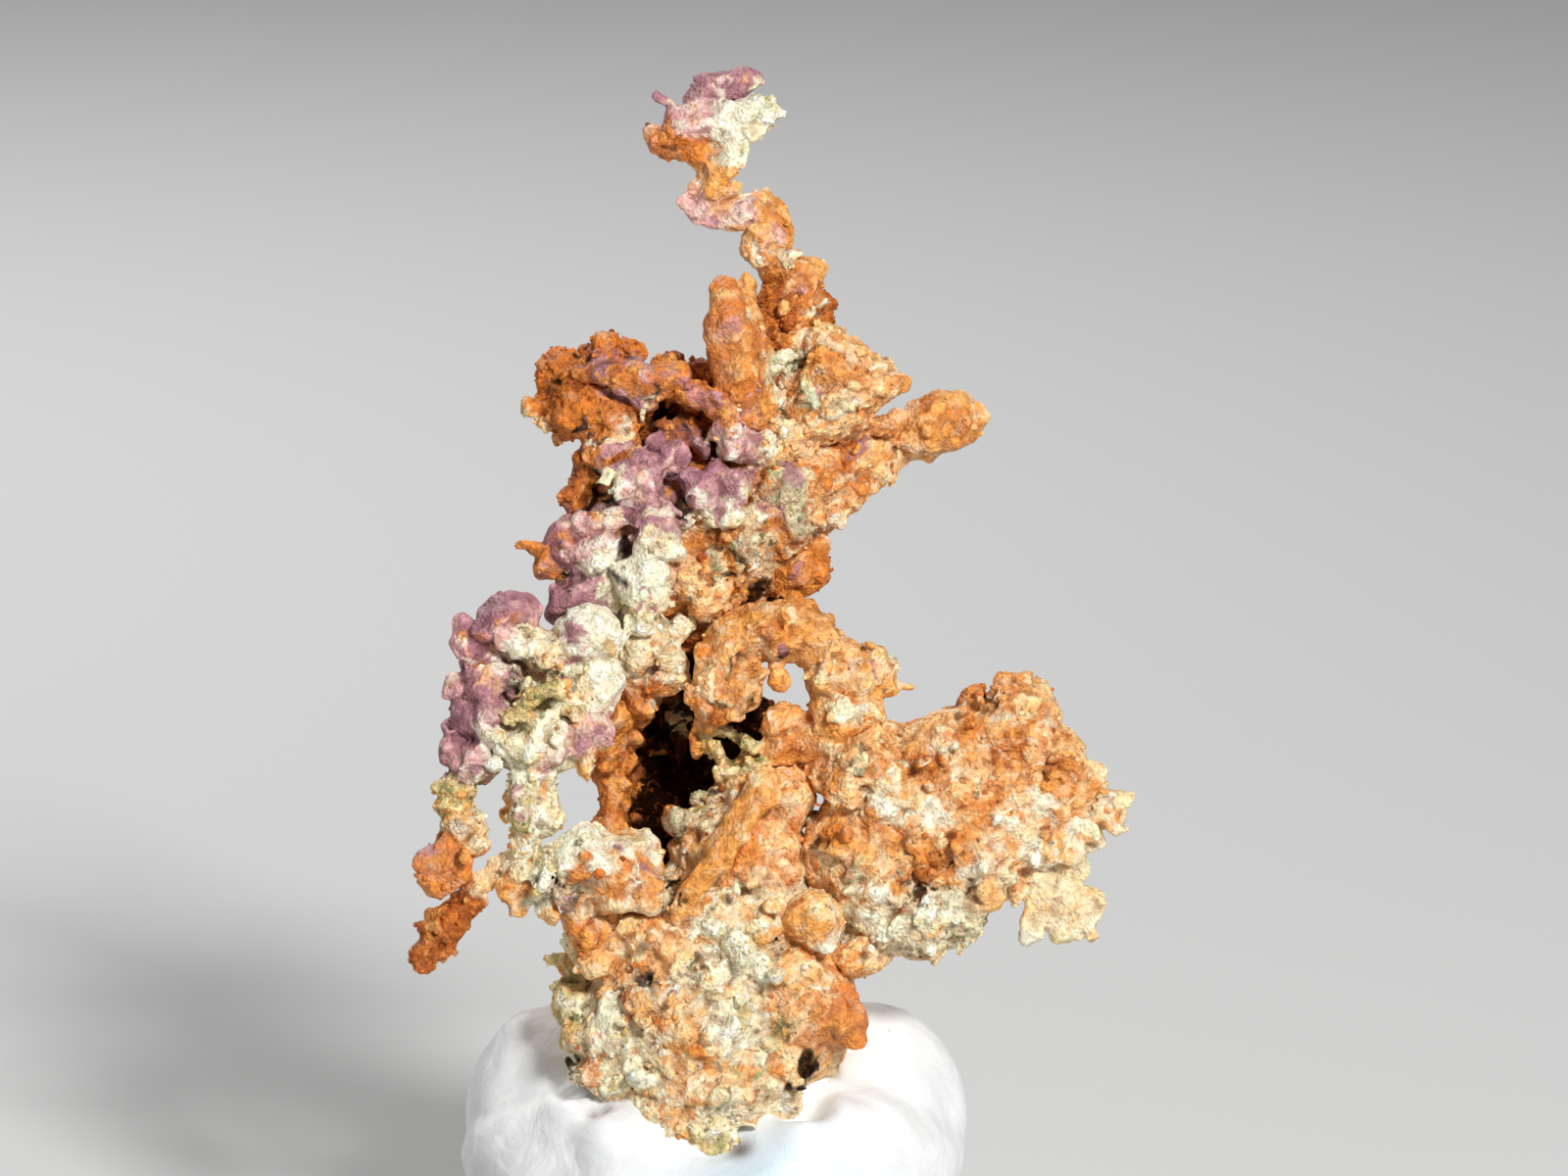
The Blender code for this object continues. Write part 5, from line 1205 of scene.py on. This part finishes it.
# Near-black painted shade behind the twigs under the arch.
arch.stains("shade_umber", (1.6, -2.6, 29.3, 0.5), (1.5, -2.3, 28.2, 0.4))
arch.pits(
    (1.2, -5.0, 31.0, 0.22), (0.4, -4.8, 31.0, 0.22), (7.4, -5.0, 31.4, 0.2), (3.6, -4.9, 33.6, 0.2),
    (2.3, -4.6, 30.8, 0.25), (5.0, -4.6, 33.6, 0.2), (1.4, -4.7, 32.7, 0.2),
)
finish_branch(arch, "arch_crust", "arch", 16)

# Trunk. The thick upper stem: tarnished mauve nodules and plates on its left face, a pale mint pad
# below them, and a sandy, rusty mass of grains with deep pits on the right.
trunk = Growth()
trunk.lumps(
    "sand",
    (2.6, 0.2, 40.2, 3.2, 3.2, 2.8), (1.2, 0.0, 37.8, 2.4, 2.6, 2.0), (2.6, -0.8, 42.8, 2.0, 1.8, 1.4),
)
trunk.lumps("rust", (-0.4, 0.4, 35.8, 2.0, 1.8, 1.6))
trunk.lumps(
    "orange",
    (-0.6, 0.2, 40.8, 3.8, 3.2, 2.8), (-3.6, -0.8, 40.8, 3.4, 2.8, 2.8), (-2.2, -0.6, 37.6, 2.6, 2.6, 2.6),
    (4.7, -0.6, 37.8, 1.4, 1.6, 1.35), (5.4, -0.6, 39.0, 0.6), (4.0, -0.8, 37.0, 0.9),
    (5.7, -0.6, 37.6, 0.5), (-8.0, -2.6, 38.0, 0.9, 1.0, 0.9), (0.5, 3.0, 40.0, 2.4, 1.4, 2.0),
    (-3.4, 2.0, 39.4, 2.0, 1.4, 2.0), (3.6, 2.6, 41.6, 1.8, 1.4, 1.6), (-2.0, 2.4, 43.4, 2.8, 1.2, 1.9),
    (-4.8, -2.4, 43.6, 1.4, 1.2, 1.2),
)
trunk.lumps(
    "ash",
    (3.6, -2.0, 42.0, 1.4, 1.2, 1.2), (1.8, -2.6, 38.8, 1.0, 0.8, 1.0), (0.4, -2.2, 37.6, 1.0, 0.8, 1.2),
    (4.2, -2.2, 40.4, 1.2, 1.0, 1.2),
)
trunk.lumps(
    "mauve",
    (-5.4, -1.2, 39.0, 2.4, 2.2, 2.0), (-0.5, -3.4, 41.8, 1.0, 0.9, 1.0), (0.3, -3.3, 42.6, 0.7, 0.7, 0.6),
    (1.2, -3.1, 41.9, 0.85, 0.9, 0.85), (0.2, -3.5, 41.0, 0.6, 0.6, 0.5), (-1.7, -2.9, 43.3, 0.65),
    (-2.6, -3.5, 43.0, 0.7), (-4.4, -3.6, 41.9, 0.6), (-0.9, -3.6, 42.3, 0.5), (-1.1, -3.8, 41.4, 0.55),
    (-2.2, -4.3, 40.9, 0.6), (-3.6, -4.2, 40.3, 0.6), (-7.2, -2.8, 39.4, 1.0, 1.1, 1.1),
    (-6.8, -3.2, 36.5, 1.7, 0.9, 0.85, 28), (-6.2, -1.8, 35.8, 2.2, 1.8, 1.8),
    (-7.0, -3.3, 38.4, 0.9, 0.9, 1.0, 30),
)
trunk.limb(
    "mauve",
    (-1.6, -3.1, 43.7, 0.6), (-2.3, -3.4, 43.2, 0.68), (-3.1, -3.6, 42.3, 0.72), (-3.1, -3.8, 41.3, 0.76),
    (-2.9, -4.0, 40.3, 1.0), (-2.8, -4.0, 39.5, 1.15),
)
trunk.limb(
    "mauve",
    (-3.4, -3.2, 43.4, 0.5), (-4.2, -3.4, 42.6, 0.55), (-4.4, -3.6, 41.7, 0.6), (-4.2, -3.6, 41.0, 0.5),
)
trunk.limb("pink", (-2.2, -3.5, 43.4, 0.4), (-1.7, -3.6, 42.6, 0.38))
trunk.stains(
    "pink",
    (-3.4, -4.3, 42.3, 0.6), (-0.4, -4.4, 41.5, 0.5), (-2.6, -5.0, 40.6, 0.5), (-4.6, -4.1, 41.8, 0.4),
    (-2.2, -4.0, 43.2, 0.4), (1.0, -4.0, 42.2, 0.35), (-7.0, -3.9, 38.6, 0.4),
)
trunk.lumps("pink", (-5.6, -3.4, 40.2, 1.5, 1.2, 0.78, 4), (-6.0, -3.4, 38.6, 1.3, 1.2, 0.9, 20))
trunk.lumps(
    "white",
    (-5.6, -3.9, 38.0, 1.1, 0.8, 0.6, 24), (-3.3, -3.9, 37.0, 1.5, 1.1, 1.6),
    (-2.6, -4.1, 38.7, 1.3, 0.9, 0.6), (-1.5, -3.6, 40.4, 0.6, 0.6, 0.6),
)
trunk.lumps(
    "mint",
    (0.9, -3.2, 40.6, 1.1, 0.8, 0.7), (-3.5, -3.7, 35.8, 0.8, 1.0, 1.2), (-5.2, -1.6, 36.8, 2.2, 1.8, 1.6),
)
trunk.lumps(
    "peach",
    (0.0, -1.6, 36.6, 1.8, 1.8, 1.5), (-0.9, -3.0, 37.2, 0.8, 0.7, 1.1, 12),
    (0.8, -1.4, 35.8, 1.1, 1.4, 0.9),
)
trunk.limb("orange", (-8.2, -2.6, 38.6, 0.4), (-9.0, -2.8, 38.9, 0.28), (-9.7, -2.9, 39.1, 0.2))
trunk.limb("rust", (-6.2, -1.6, 43.4, 0.6), (-6.4, -1.8, 42.2, 0.5), (-7.0, -2.2, 41.2, 0.6))
trunk.limb("white", (-4.8, -4.2, 42.9, 0.3), (-5.3, -4.3, 42.5, 0.22), (-5.9, -4.3, 42.1, 0.09))
trunk.stains(
    "cream",
    (-5.0, -4.4, 40.5, 0.5), (-2.0, -4.9, 39.0, 0.6), (-3.4, -4.9, 39.0, 0.5), (-2.2, -4.6, 40.0, 0.3),
)
trunk.stains(
    "mauve",
    (-6.9, -4.4, 37.6, 0.5), (-5.2, -4.2, 39.2, 0.4), (3.2, -2.8, 41.0, 0.6), (2.2, -3.0, 43.0, 0.5),
    (4.4, -2.4, 42.6, 0.6), (-4.6, -3.4, 44.0, 0.6), (-3.2, -4.9, 36.4, 0.3), (4.9, -2.2, 38.0, 0.5),
)
trunk.stains(
    "orange",
    (-7.9, -3.8, 39.0, 0.6), (-5.9, -4.4, 40.6, 0.35), (1.6, -2.8, 37.4, 0.9), (3.4, -2.8, 39.4, 0.8),
    (5.2, -1.8, 41.2, 0.9), (-0.2, -3.0, 38.8, 0.7), (2.8, -2.8, 42.2, 0.5), (0.8, -3.0, 39.2, 0.6),
)
trunk.stains(
    "cream",
    (2.0, -3.0, 40.8, 0.8), (4.4, -2.4, 41.2, 0.7), (-0.6, -3.2, 39.6, 0.7), (5.6, -1.6, 40.4, 0.6),
)
trunk.stains("white", (-0.2, -4.2, 41.2, 0.3), (1.5, -3.9, 41.2, 0.35), (-4.2, -4.3, 40.1, 0.3))
# Near-black painted shade in the trunk's deep pits and hollows.
trunk.stains(
    "shade_umber",
    (-1.6, -3.9, 41.3, 0.7), (-5.5, -3.6, 41.7, 0.6), (2.6, -2.4, 36.8, 0.9), (-3.8, -3.4, 41.8, 0.3),
)
trunk.pits(
    (-1.6, -3.8, 41.4, 0.7), (-1.7, -3.8, 40.7, 0.5), (-5.5, -3.8, 41.5, 0.6), (-5.9, -3.6, 42.2, 0.45),
    (2.3, -2.8, 37.0, 0.7), (3.2, -2.2, 36.4, 0.6), (1.6, -2.8, 36.2, 0.5), (1.7, -3.2, 38.0, 0.3),
    (3.4, -2.6, 38.4, 0.35), (0.9, -3.2, 38.2, 0.25), (2.6, -3.0, 39.8, 0.25), (-0.4, -3.2, 40.0, 0.3),
    (2.2, -3.0, 41.4, 0.3), (-4.1, -4.0, 38.9, 0.35), (-5.0, -4.2, 37.2, 0.35), (-1.9, -3.8, 36.4, 0.3),
    (-4.2, -3.6, 39.9, 0.3), (1.9, -3.2, 42.6, 0.25), (-6.4, -3.6, 41.2, 0.3), (-4.5, -3.6, 35.2, 0.3),
    (-6.6, -3.9, 37.4, 0.25),
)
finish_branch(trunk, "trunk_crust", "trunk", 17)

# Right arm. The club of copper that reaches back to the right, peach and rusty at its root and
# golden at its beaded end.
right_arm = Growth()
right_arm.limb(
    "peach",
    (4.0, 0.0, 41.6, 2.0), (5.4, 0.4, 42.1, 2.0), (6.8, 0.8, 42.8, 1.75), (8.4, 1.2, 43.8, 1.5),
    (9.8, 1.6, 44.6, 1.3),
)
right_arm.limb(
    "golden",
    (9.8, 1.5, 44.5, 1.3), (11.2, 1.6, 45.1, 1.5), (12.3, 1.8, 45.4, 1.65), (12.9, 2.0, 45.5, 1.3),
)
right_arm.lumps(
    "golden",
    (11.8, 1.4, 46.3, 0.75, 0.8, 0.65), (9.7, 1.2, 45.7, 0.55), (12.6, 1.6, 44.7, 0.8),
    (13.3, 2.0, 46.0, 0.7), (11.6, 1.6, 44.2, 0.55),
)
right_arm.lumps("sand", (9.2, 1.0, 42.9, 0.6), (5.6, -0.4, 40.8, 1.4, 1.6, 1.2))
right_arm.stains(
    "rust",
    (8.6, 0.0, 44.6, 0.6), (7.0, -0.6, 43.6, 0.6), (10.6, 0.6, 45.9, 0.4), (6.2, -1.0, 42.8, 0.7),
)
right_arm.stains("mauve", (8.0, -0.2, 44.2, 0.4), (9.6, 0.4, 43.8, 0.4), (5.6, -1.4, 41.6, 0.5))
right_arm.stains(
    "orange",
    (7.6, -0.6, 42.4, 0.9), (13.8, 1.4, 45.4, 0.8), (11.0, 0.6, 45.2, 0.7), (12.4, 0.4, 45.2, 0.9),
)
right_arm.stains(
    "golden",
    (12.8, 0.8, 46.2, 0.7), (10.2, 0.4, 44.6, 0.7), (8.8, 0.0, 43.8, 0.6), (6.6, -1.0, 42.0, 0.6),
)
right_arm.stains(
    "ochre",
    (11.2, 0.8, 46.6, 0.6), (10.4, 0.8, 45.9, 0.5), (5.2, -1.4, 42.4, 0.7), (6.8, -0.8, 44.0, 0.5),
)
# Near-black painted shade in a hollow near the beaded end.
right_arm.stains("shade_umber", (11.5, 0.6, 46.7, 0.5), (11.2, 0.8, 46.2, 0.3))
right_arm.stains("white", (7.2, -0.8, 42.9, 0.4), (9.0, 0.0, 43.4, 0.4))
right_arm.pits((11.6, 0.3, 46.2, 0.25), (12.2, 0.2, 45.6, 0.2))
finish_branch(right_arm, "right_arm_crust", "right_arm", 18)

# Left arm. The deep ochre arm to the upper left, with the orange and mauve ridge that overhangs its
# hollow, painted near-black as its shade, and the pink nodules below the ridge.
left_arm = Growth()
left_arm.lumps(
    "ochre",
    (-7.2, -1.2, 47.6, 1.5, 1.7, 1.5), (-5.4, -1.4, 49.3, 0.65, 0.8, 0.65),
    (-4.0, -0.8, 48.8, 0.9, 1.0, 0.75), (-5.6, -1.0, 48.2, 1.4, 1.6, 1.1), (-8.0, -1.2, 46.4, 0.9),
    (-6.5, -1.2, 46.0, 1.8, 2.0, 1.5), (-5.0, -1.4, 45.6, 1.6, 1.9, 1.5), (-7.2, -1.2, 45.1, 0.8),
    (-5.0, -1.6, 44.2, 1.6, 1.7, 1.4),
)
left_arm.lumps(
    "rust",
    (-2.4, 1.4, 45.6, 3.0, 2.0, 2.2), (0.2, 1.2, 45.4, 2.6, 2.0, 2.2), (-2.2, 0.6, 48.3, 0.7, 0.7, 0.5),
    (-0.4, 0.4, 47.8, 0.9, 0.9, 0.5),
)
left_arm.lumps("peach", (-9.0, -1.6, 46.2, 0.52), (-8.4, -1.4, 45.4, 0.58))
left_arm.lumps("orange", (-3.5, -2.6, 46.5, 0.8, 0.9, 0.7))
left_arm.lumps(
    "mauve",
    (-2.0, -1.9, 44.5, 0.7), (-0.3, -2.2, 44.1, 0.6), (-2.7, -2.4, 44.1, 0.5), (0.6, -3.4, 46.0, 0.7),
)
left_arm.lumps("rust", (-0.9, -1.7, 45.0, 0.7), (-1.4, -2.2, 44.1, 0.4))
left_arm.lumps("pink", (1.0, -3.2, 44.9, 1.2, 1.1, 0.8), (1.6, -3.0, 44.0, 1.2, 1.2, 0.95))
left_arm.lumps("cream", (2.7, -2.9, 43.9, 0.6, 0.8, 1.05, -6))
left_arm.limb("mauve", (-5.9, -2.5, 48.1, 0.6), (-4.6, -3.1, 47.5, 0.85), (-3.1, -3.3, 47.4, 0.85))
left_arm.limb(
    "orange",
    (-3.1, -3.3, 47.4, 0.75), (-1.7, -3.3, 47.7, 0.72), (-1.5, -3.3, 47.0, 0.5), (-0.6, -3.2, 46.6, 0.62),
    (0.2, -3.3, 46.2, 0.8), (1.0, -3.1, 45.8, 0.75),
)
left_arm.stains(
    "mauve",
    (-1.2, -4.0, 46.9, 0.4), (0.2, -4.0, 46.4, 0.5), (-3.6, -3.9, 46.2, 0.5), (-2.0, -4.0, 47.9, 0.4),
)
left_arm.stains("rust", (-2.0, -2.6, 44.9, 0.6), (-0.6, -2.8, 45.2, 0.5))
# Near-black painted shade under the ridge.
left_arm.stains(
    "shade_umber",
    (-1.2, -2.6, 45.4, 0.5), (-1.2, -2.6, 44.6, 0.35), (-3.0, -2.6, 45.2, 0.6), (0.0, -2.6, 45.0, 0.4),
)
left_arm.stains(
    "orange",
    (-4.0, -4.0, 48.0, 0.6), (-5.4, -3.5, 48.2, 0.6), (-2.8, -4.1, 47.3, 0.4), (-4.4, -3.9, 47.2, 0.35),
)
left_arm.stains("amber", (-4.8, -3.9, 47.7, 0.6), (-3.8, -4.1, 47.5, 0.6), (-2.9, -4.1, 47.6, 0.5))
left_arm.stains("orange", (-5.2, -3.6, 47.3, 0.4), (1.6, -4.0, 45.2, 0.4), (0.6, -4.2, 44.6, 0.3))
left_arm.stains("white", (-3.0, -3.6, 46.6, 0.3), (-6.2, -2.8, 44.4, 0.25), (-4.6, -3.4, 44.9, 0.3))
left_arm.stains("cream", (-5.2, -3.3, 44.6, 0.5), (-3.9, -3.3, 45.3, 0.35), (-4.4, -3.3, 44.3, 0.3))
left_arm.stains(
    "rust",
    (-6.6, -2.8, 47.0, 0.6), (-5.4, -2.8, 46.2, 0.5), (-7.6, -2.6, 46.6, 0.4), (-6.2, -2.6, 48.9, 0.5),
)
# Near-black painted shade deep in the hollow under the ridge.
left_arm.stains(
    "shade_umber",
    (-2.6, -1.0, 45.4, 1.1), (-0.8, -1.2, 45.8, 0.9), (-3.4, -1.8, 44.6, 0.7), (0.2, -1.4, 43.8, 0.7),
)
left_arm.stains("pink", (1.6, -4.2, 43.9, 0.7), (0.6, -4.3, 44.9, 0.5), (-0.9, -3.0, 44.6, 0.3))
left_arm.stains("mauve", (1.0, -4.3, 45.2, 0.5), (1.9, -4.1, 44.6, 0.4))
left_arm.pits(
    (-7.8, -2.8, 47.3, 0.32), (-7.0, -2.9, 47.4, 0.28), (-5.0, -2.7, 46.7, 0.3), (-6.4, -3.0, 46.7, 0.2),
    (-5.6, -3.1, 45.0, 0.25), (-4.4, -2.8, 48.3, 0.25), (-6.8, -2.7, 44.6, 0.25), (-2.5, -3.9, 46.6, 0.25),
)
finish_branch(left_arm, "left_arm_crust", "left_arm", 19)

# Crown. Two copper branches side by side: the smooth upright amber blade, and the blunt peach
# wedge, with a green and mint hollow between them.
crown = Growth()
crown.lumps(
    "peach",
    (5.6, 0.0, 48.2, 2.8, 2.2, 2.0), (7.6, 0.0, 47.4, 2.2, 2.0, 1.5),
    (9.2, -0.2, 47.3, 1.0, 1.1, 0.75, -20), (5.4, 0.0, 46.0, 2.8, 2.2, 1.8),
    (6.4, -1.2, 48.0, 2.2, 1.4, 1.0, -32), (6.4, -1.2, 45.9, 2.2, 1.3, 0.55, 22),
    (6.8, -1.3, 46.7, 2.0, 1.2, 0.5, 20), (5.8, -1.2, 45.1, 1.8, 1.2, 0.5, 24),
    (8.4, -0.8, 47.1, 1.3, 1.2, 0.8, -10), (3.4, -0.8, 44.4, 2.2, 1.9, 1.6),
)
crown.lumps(
    "mint",
    (3.6, -1.8, 48.5, 0.9, 0.8, 0.5, 10), (3.2, -2.0, 47.8, 0.6, 0.7, 0.4),
    (5.0, -1.8, 47.2, 0.5, 0.6, 0.8),
)
crown.lumps(
    "cream",
    (3.2, -2.3, 46.4, 0.5, 0.6, 0.85), (3.9, -2.0, 44.9, 0.8, 0.9, 0.7), (6.0, 2.2, 47.0, 2.4, 1.2, 2.0),
)
crown.lumps("rust", (3.1, -0.4, 48.8, 1.6, 1.3, 2.4), (5.0, 1.5, 50.6, 1.3, 0.9, 1.6))
crown.lumps(
    "orange",
    (1.4, -2.4, 50.2, 1.25, 1.1, 1.9), (1.8, -2.3, 47.6, 1.5, 1.4, 2.4), (2.0, -2.0, 46.0, 1.6, 1.8, 1.4),
)
crown.limb(
    "amber",
    (0.5, -2.7, 52.6, 0.16), (0.65, -2.7, 52.0, 0.6), (0.95, -2.7, 51.1, 0.98), (1.05, -2.8, 49.9, 1.15),
    (1.3, -2.8, 48.4, 1.15), (1.55, -2.7, 46.9, 1.15),
)
crown.limb("golden", (1.9, -2.2, 52.4, 0.24), (1.95, -2.2, 51.8, 0.5), (2.1, -2.2, 50.6, 0.8))
crown.stains(
    "mauve",
    (0.5, -3.6, 51.2, 0.25), (1.2, -3.9, 50.0, 0.25), (2.2, -3.6, 47.0, 0.3), (1.2, -3.8, 46.4, 0.4),
    (5.8, -2.2, 47.0, 0.3), (2.0, -3.4, 45.6, 0.4),
)
crown.stains(
    "golden",
    (1.9, -3.7, 49.8, 0.6), (1.6, -4.0, 48.0, 0.7), (2.4, -3.4, 48.8, 0.5), (0.9, -3.4, 51.8, 0.4),
)
crown.stains(
    "cream",
    (1.9, -3.5, 50.8, 0.35), (2.3, -3.4, 46.2, 0.4), (7.2, -2.2, 46.2, 0.6), (8.8, -1.8, 47.6, 0.5),
)
crown.stains(
    "orange",
    (6.6, -2.4, 48.6, 0.7), (8.2, -1.9, 47.6, 0.6), (5.4, -2.2, 48.8, 0.6), (7.6, -2.2, 46.4, 0.5),
    (4.6, -2.2, 46.0, 0.5), (5.9, -2.4, 45.2, 0.5), (9.4, -1.4, 47.2, 0.5), (6.8, -2.4, 47.6, 0.4),
)
crown.stains("green", (4.4, -2.1, 47.7, 0.8), (4.9, -2.2, 46.8, 0.7), (4.0, -2.0, 48.4, 0.5))
crown.stains(
    "rust",
    (3.4, -1.8, 50.4, 0.9), (3.6, -1.6, 51.4, 0.8), (3.0, -2.0, 49.4, 0.5), (7.2, -2.3, 49.0, 0.4),
)
# Near-black painted shade in the rusty hollow by the pits.
crown.stains("shade_umber", (2.9, -1.5, 51.4, 0.5), (3.0, -1.8, 50.4, 0.4))
crown.pits(
    (4.5, -2.2, 48.3, 0.45), (4.2, -2.2, 47.5, 0.4), (3.3, -1.9, 50.4, 0.35), (3.9, -2.4, 46.8, 0.3),
    (4.0, -2.4, 45.6, 0.3), (0.8, -3.4, 47.6, 0.2),
)
finish_branch(crown, "crown_crust", "crown", 20)

# Spire. The thin crooked branch at the top, tan and mauve with cream beads, and the tuft of small
# fingers that it ends in: mauve on the left, dusted mint on the right.
spire = Growth()
spire.limb(
    "orange",
    (4.5, 0.2, 50.2, 1.5), (4.6, 0.0, 51.4, 1.3), (4.2, -0.2, 52.5, 1.15), (3.5, -0.4, 53.4, 1.0),
)
spire.limb(
    "golden",
    (3.5, -0.4, 53.4, 0.95), (2.8, -0.6, 54.2, 1.0), (2.9, -0.6, 55.1, 1.1), (3.3, -0.6, 55.7, 0.9),
    (2.8, -0.7, 56.3, 0.8),
)
spire.limb(
    "pink",
    (2.4, -0.8, 56.4, 0.6), (1.6, -0.9, 56.1, 0.75), (0.9, -1.0, 55.9, 0.75), (-0.1, -1.2, 55.95, 0.6),
)
spire.limb(
    "golden",
    (0.2, -1.2, 56.3, 0.6), (0.0, -1.2, 57.0, 0.7), (0.2, -1.2, 57.8, 0.75), (0.0, -1.3, 58.6, 0.8),
)
spire.lumps(
    "golden",
    (5.7, -0.2, 51.4, 0.5), (5.0, -0.2, 53.0, 0.8), (1.0, -1.3, 57.15, 0.5, 0.5, 0.4, 15),
    (0.9, -0.9, 55.3, 0.4), (0.8, -1.6, 58.6, 0.7),
)
spire.lumps(
    "pink",
    (-0.6, -1.3, 55.9, 0.5), (-1.1, -1.2, 56.55, 0.36), (-1.35, -1.2, 56.5, 0.2), (-0.7, -1.3, 57.2, 0.3),
)
spire.lumps(
    "ochre",
    (3.5, -0.5, 51.6, 1.1), (3.3, -0.4, 50.4, 1.2), (3.2, -0.5, 52.8, 0.7),
    (-0.5, -1.4, 58.9, 0.9, 0.95, 0.8), (-1.3, -1.5, 59.2, 0.95, 0.8, 0.8, -30),
    (-2.1, -1.5, 59.6, 0.9, 0.7, 0.6, -35), (-2.8, -1.5, 60.0, 0.6, 0.5, 0.42, -20),
)
spire.limb("pink", (-2.6, -1.5, 60.2, 0.3), (-3.1, -1.5, 60.2, 0.24), (-3.5, -1.5, 60.3, 0.12))
spire.lumps(
    "cream",
    (2.55, -1.4, 53.5, 0.4), (3.8, -1.3, 53.6, 0.4), (4.3, -1.3, 54.0, 0.3), (5.5, -0.8, 52.4, 0.3),
    (5.8, -0.8, 51.2, 0.36), (5.3, -1.1, 50.7, 0.35), (3.6, -1.4, 54.9, 0.3),
)
spire.lumps("peach", (2.5, -1.5, 55.0, 0.6, 0.4, 0.5))
spire.lumps(
    "pink",
    (-0.8, -1.5, 60.5, 1.35, 1.1, 1.2), (-0.4, -1.4, 61.4, 0.9, 0.8, 0.7),
    (-1.7, -1.5, 60.8, 0.6, 0.6, 0.6), (0.3, -1.5, 61.2, 0.8, 0.8, 0.8),
)
spire.lumps(
    "white",
    (0.9, -1.7, 59.7, 1.2, 1.1, 1.1), (1.5, -1.6, 60.9, 1.1, 1.0, 1.0), (0.6, -2.1, 60.4, 0.7, 0.6, 0.7),
)
spire.lumps(
    "mint",
    (2.6, -1.6, 61.0, 0.9, 0.9, 0.8), (2.2, -1.6, 60.2, 0.7), (3.0, -1.5, 60.9, 0.5),
    (2.2, -1.7, 61.6, 0.5), (1.2, -1.7, 58.9, 0.6),
)
spire.limb(
    "mauve",
    (-0.7, -1.2, 61.6, 0.7), (-0.1, -1.1, 62.2, 0.68), (0.6, -1.0, 62.5, 0.72), (1.3, -0.9, 62.7, 0.72),
    (1.9, -0.8, 62.7, 0.66),
)
spire.limb("mauve", (-1.5, -1.5, 61.0, 0.45), (-2.1, -1.6, 61.4, 0.28), (-2.6, -1.7, 61.8, 0.22))
spire.stains("mauve", (-0.3, -2.5, 61.2, 0.4), (1.5, -1.8, 56.4, 0.4), (0.4, -1.9, 55.7, 0.3))
spire.stains(
    "pink",
    (0.4, -1.8, 62.2, 0.5), (1.4, -1.6, 62.6, 0.4), (4.6, -1.4, 51.9, 0.4), (3.2, -1.7, 54.4, 0.4),
)
spire.stains(
    "orange",
    (2.0, -1.5, 62.6, 0.35), (-0.2, -2.5, 59.4, 0.5), (-2.1, -2.2, 59.6, 0.4), (3.4, -1.6, 56.2, 0.4),
)
spire.stains("white", (1.6, -2.6, 60.6, 0.7), (1.2, -2.7, 59.8, 0.7), (1.2, -1.8, 55.9, 0.5))
spire.stains(
    "rust",
    (3.2, -1.4, 52.6, 0.6), (3.6, -1.6, 54.0, 0.3), (3.9, -1.5, 51.2, 0.6), (3.0, -1.5, 53.0, 0.4),
)
spire.stains("orange", (4.8, -1.3, 52.4, 0.7), (2.6, -1.7, 54.0, 0.3), (3.8, -1.5, 55.4, 0.3))
spire.pits(
    (0.5, -2.2, 61.2, 0.3), (0.6, -2.7, 60.1, 0.15), (3.4, -1.6, 51.9, 0.25), (0.4, -1.9, 57.4, 0.15),
)
finish_branch(spire, "spire_crust", "spire", 21)
